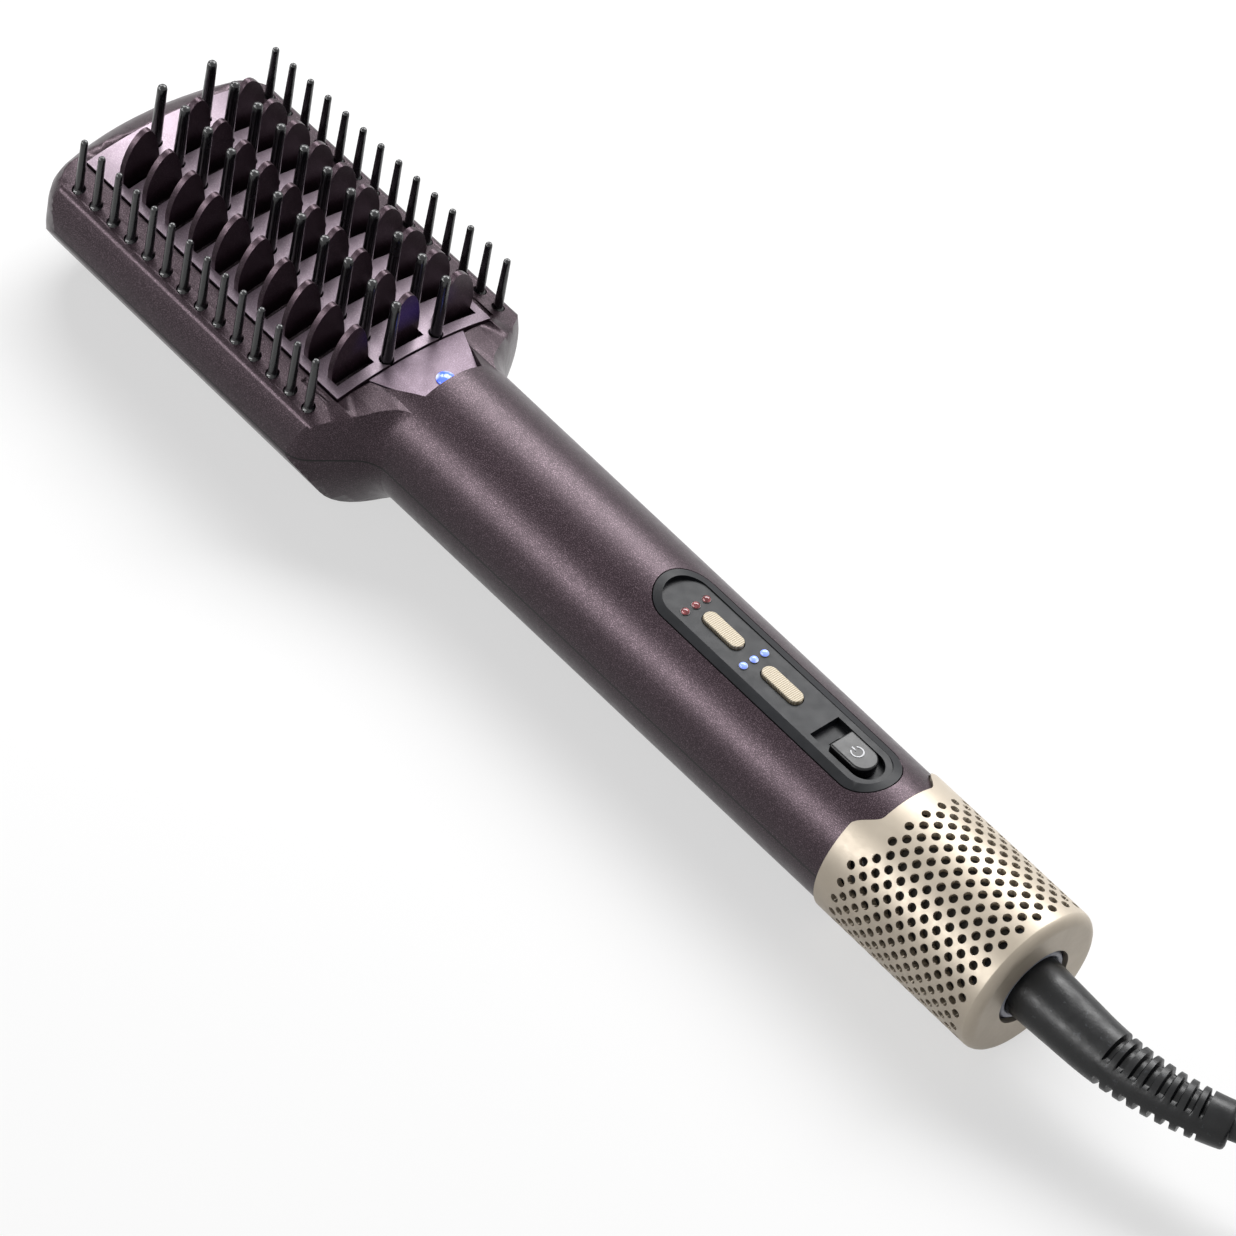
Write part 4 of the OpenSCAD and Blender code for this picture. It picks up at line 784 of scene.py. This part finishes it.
def makePowerSign():
    s = signSettings
    place = (s["x"] * mm, 0, s["level"] * mm)
    bpy.ops.mesh.primitive_torus_add(
        major_segments=48, minor_segments=8, location=place,
        major_radius=s["radius"] * mm, minor_radius=s["stroke"] * mm,
    )
    ring = bpy.context.object
    applyPlace(ring)
    pick(ring)
    bpy.ops.object.mode_set(mode="EDIT")
    bpy.ops.mesh.select_mode(type="FACE")
    bpy.ops.mesh.select_all(action="DESELECT")
    bpy.ops.object.mode_set(mode="OBJECT")
    for face in ring.data.polygons:
        centre = face.center - Vector(place)
        face.select = abs(atan2(centre.y, -centre.x)) < radians(s["gap"])
    bpy.ops.object.mode_set(mode="EDIT")
    bpy.ops.mesh.delete(type="FACE")
    bpy.ops.mesh.select_mode(type="VERT")
    bpy.ops.object.mode_set(mode="OBJECT")
    barPlace = ((s["x"] - s["radius"] * s["barPlace"]) * mm, 0, s["level"] * mm)
    bpy.ops.mesh.primitive_cylinder_add(
        vertices=12, radius=s["stroke"] * mm, depth=s["bar"] * mm,
        location=barPlace, rotation=(0, pi / 2, 0),
    )
    bar = bpy.context.object
    applyPlace(bar)
    clearSelection()
    ring.select_set(True)
    bar.select_set(True)
    bpy.context.view_layer.objects.active = ring
    bpy.ops.object.join()
    for vertex in ring.data.vertices:
        vertex.co.z = place[2] + (vertex.co.z - place[2]) * s["flat"]
    ring.name = "power_sign"
    dress(ring, whiteInk)
    bpy.ops.object.shade_smooth()
    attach(ring, "power_key")


makePowerSign()
print("power sign made")

# Strain relief: smooth at the collar, then slots on both sides between two spines
bootSettings = {
    "x": 166.1, "length": 60, "straight": 19.7, "bend": 82,
    "base": 17, "tip": 12, "plainStart": 27.8, "pitch": 3.5,
    "slot": 1.9, "slotDepth": 1.9, "slotSoft": 0.35, "plainEnd": 6.6,
    "spine": 20, "spineSoft": 10, "spineAngle": -72,  # the spines are turned from the top by this
    "rings": 300, "sides": 64, "endRound": 1.2, "weld": 0.001, "shadeAngle": 50,
}


def bootPlace(s):
    straight, bend = bootSettings["straight"], bootSettings["bend"]
    if s < straight:
        return Vector((bootSettings["x"] + s, 0, axisZ)), 0.0
    turn = (s - straight) / bend
    return Vector((bootSettings["x"] + straight + bend * sin(turn), bend * (1 - cos(turn)), axisZ)), turn


def bootRadius(s, angle):
    b = bootSettings
    radius = (b["base"] + (b["tip"] - b["base"]) * s / b["length"]) / 2
    fromEnd = b["length"] - s
    if fromEnd < b["endRound"]:
        radius -= b["endRound"] - sqrt(max(b["endRound"] ** 2 - (b["endRound"] - fromEnd) ** 2, 0))
    along = (s - b["plainStart"]) % b["pitch"]
    inSlots = b["plainStart"] <= s < b["length"] - b["plainEnd"]
    fromSpine = abs((angle - radians(b["spineAngle"]) + pi / 2) % pi - pi / 2)  # 0 on both spines
    if inSlots:
        across = smoothStep((fromSpine - radians(b["spine"])) / radians(b["spineSoft"]))
        deep = smoothStep(along / b["slotSoft"]) * smoothStep((b["slot"] - along) / b["slotSoft"])
        radius -= b["slotDepth"] * across * deep
    return radius


def makeBoot():
    b = bootSettings
    bpy.ops.mesh.primitive_grid_add(x_subdivisions=b["rings"], y_subdivisions=b["sides"], size=1)
    boot = bpy.context.object
    for vertex in boot.data.vertices:
        s = (vertex.co.x + 0.5) * b["length"]
        angle = (vertex.co.y + 0.5) * tau
        centre, turn = bootPlace(s)
        radius = bootRadius(s, angle)
        out = Vector((-sin(turn) * sin(angle), cos(turn) * sin(angle), cos(angle)))
        vertex.co = (centre + out * radius) * mm
    pick(boot)
    bpy.ops.object.mode_set(mode="EDIT")
    bpy.ops.mesh.select_all(action="SELECT")
    bpy.ops.mesh.remove_doubles(threshold=b["weld"] * mm)
    bpy.ops.mesh.select_all(action="DESELECT")
    bpy.ops.mesh.select_non_manifold()
    bpy.ops.mesh.edge_face_add()
    bpy.ops.mesh.select_all(action="SELECT")
    bpy.ops.mesh.normals_make_consistent(inside=False)
    bpy.ops.object.mode_set(mode="OBJECT")
    boot.name = "strain_relief_slotted"
    smoothByAngle(boot, b["shadeAngle"])
    dress(boot, bootRubber)
    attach(boot, "swivel")
    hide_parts("strain_relief")
    return boot


makeBoot()

# Rounded flange of the swivel round the foot of the strain relief
flangeSettings = {"x": 166.6, "radius": 9.35, "thick": 0.9}


def makeFlange():
    f = flangeSettings
    bpy.ops.mesh.primitive_torus_add(
        major_segments=96, minor_segments=20,
        location=(f["x"] * mm, 0, axisZ * mm), rotation=(0, pi / 2, 0),
        major_radius=f["radius"] * mm, minor_radius=f["thick"] * mm,
    )
    flange = bpy.context.object
    applyPlace(flange)
    flange.name = "swivel_flange"
    bpy.ops.object.shade_smooth()
    # Same pale blue-grey as the collar, partly painted light
    dress(flange, collarGreyPaintedLight)
    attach(flange, "swivel")


makeFlange()
print("strain relief made")
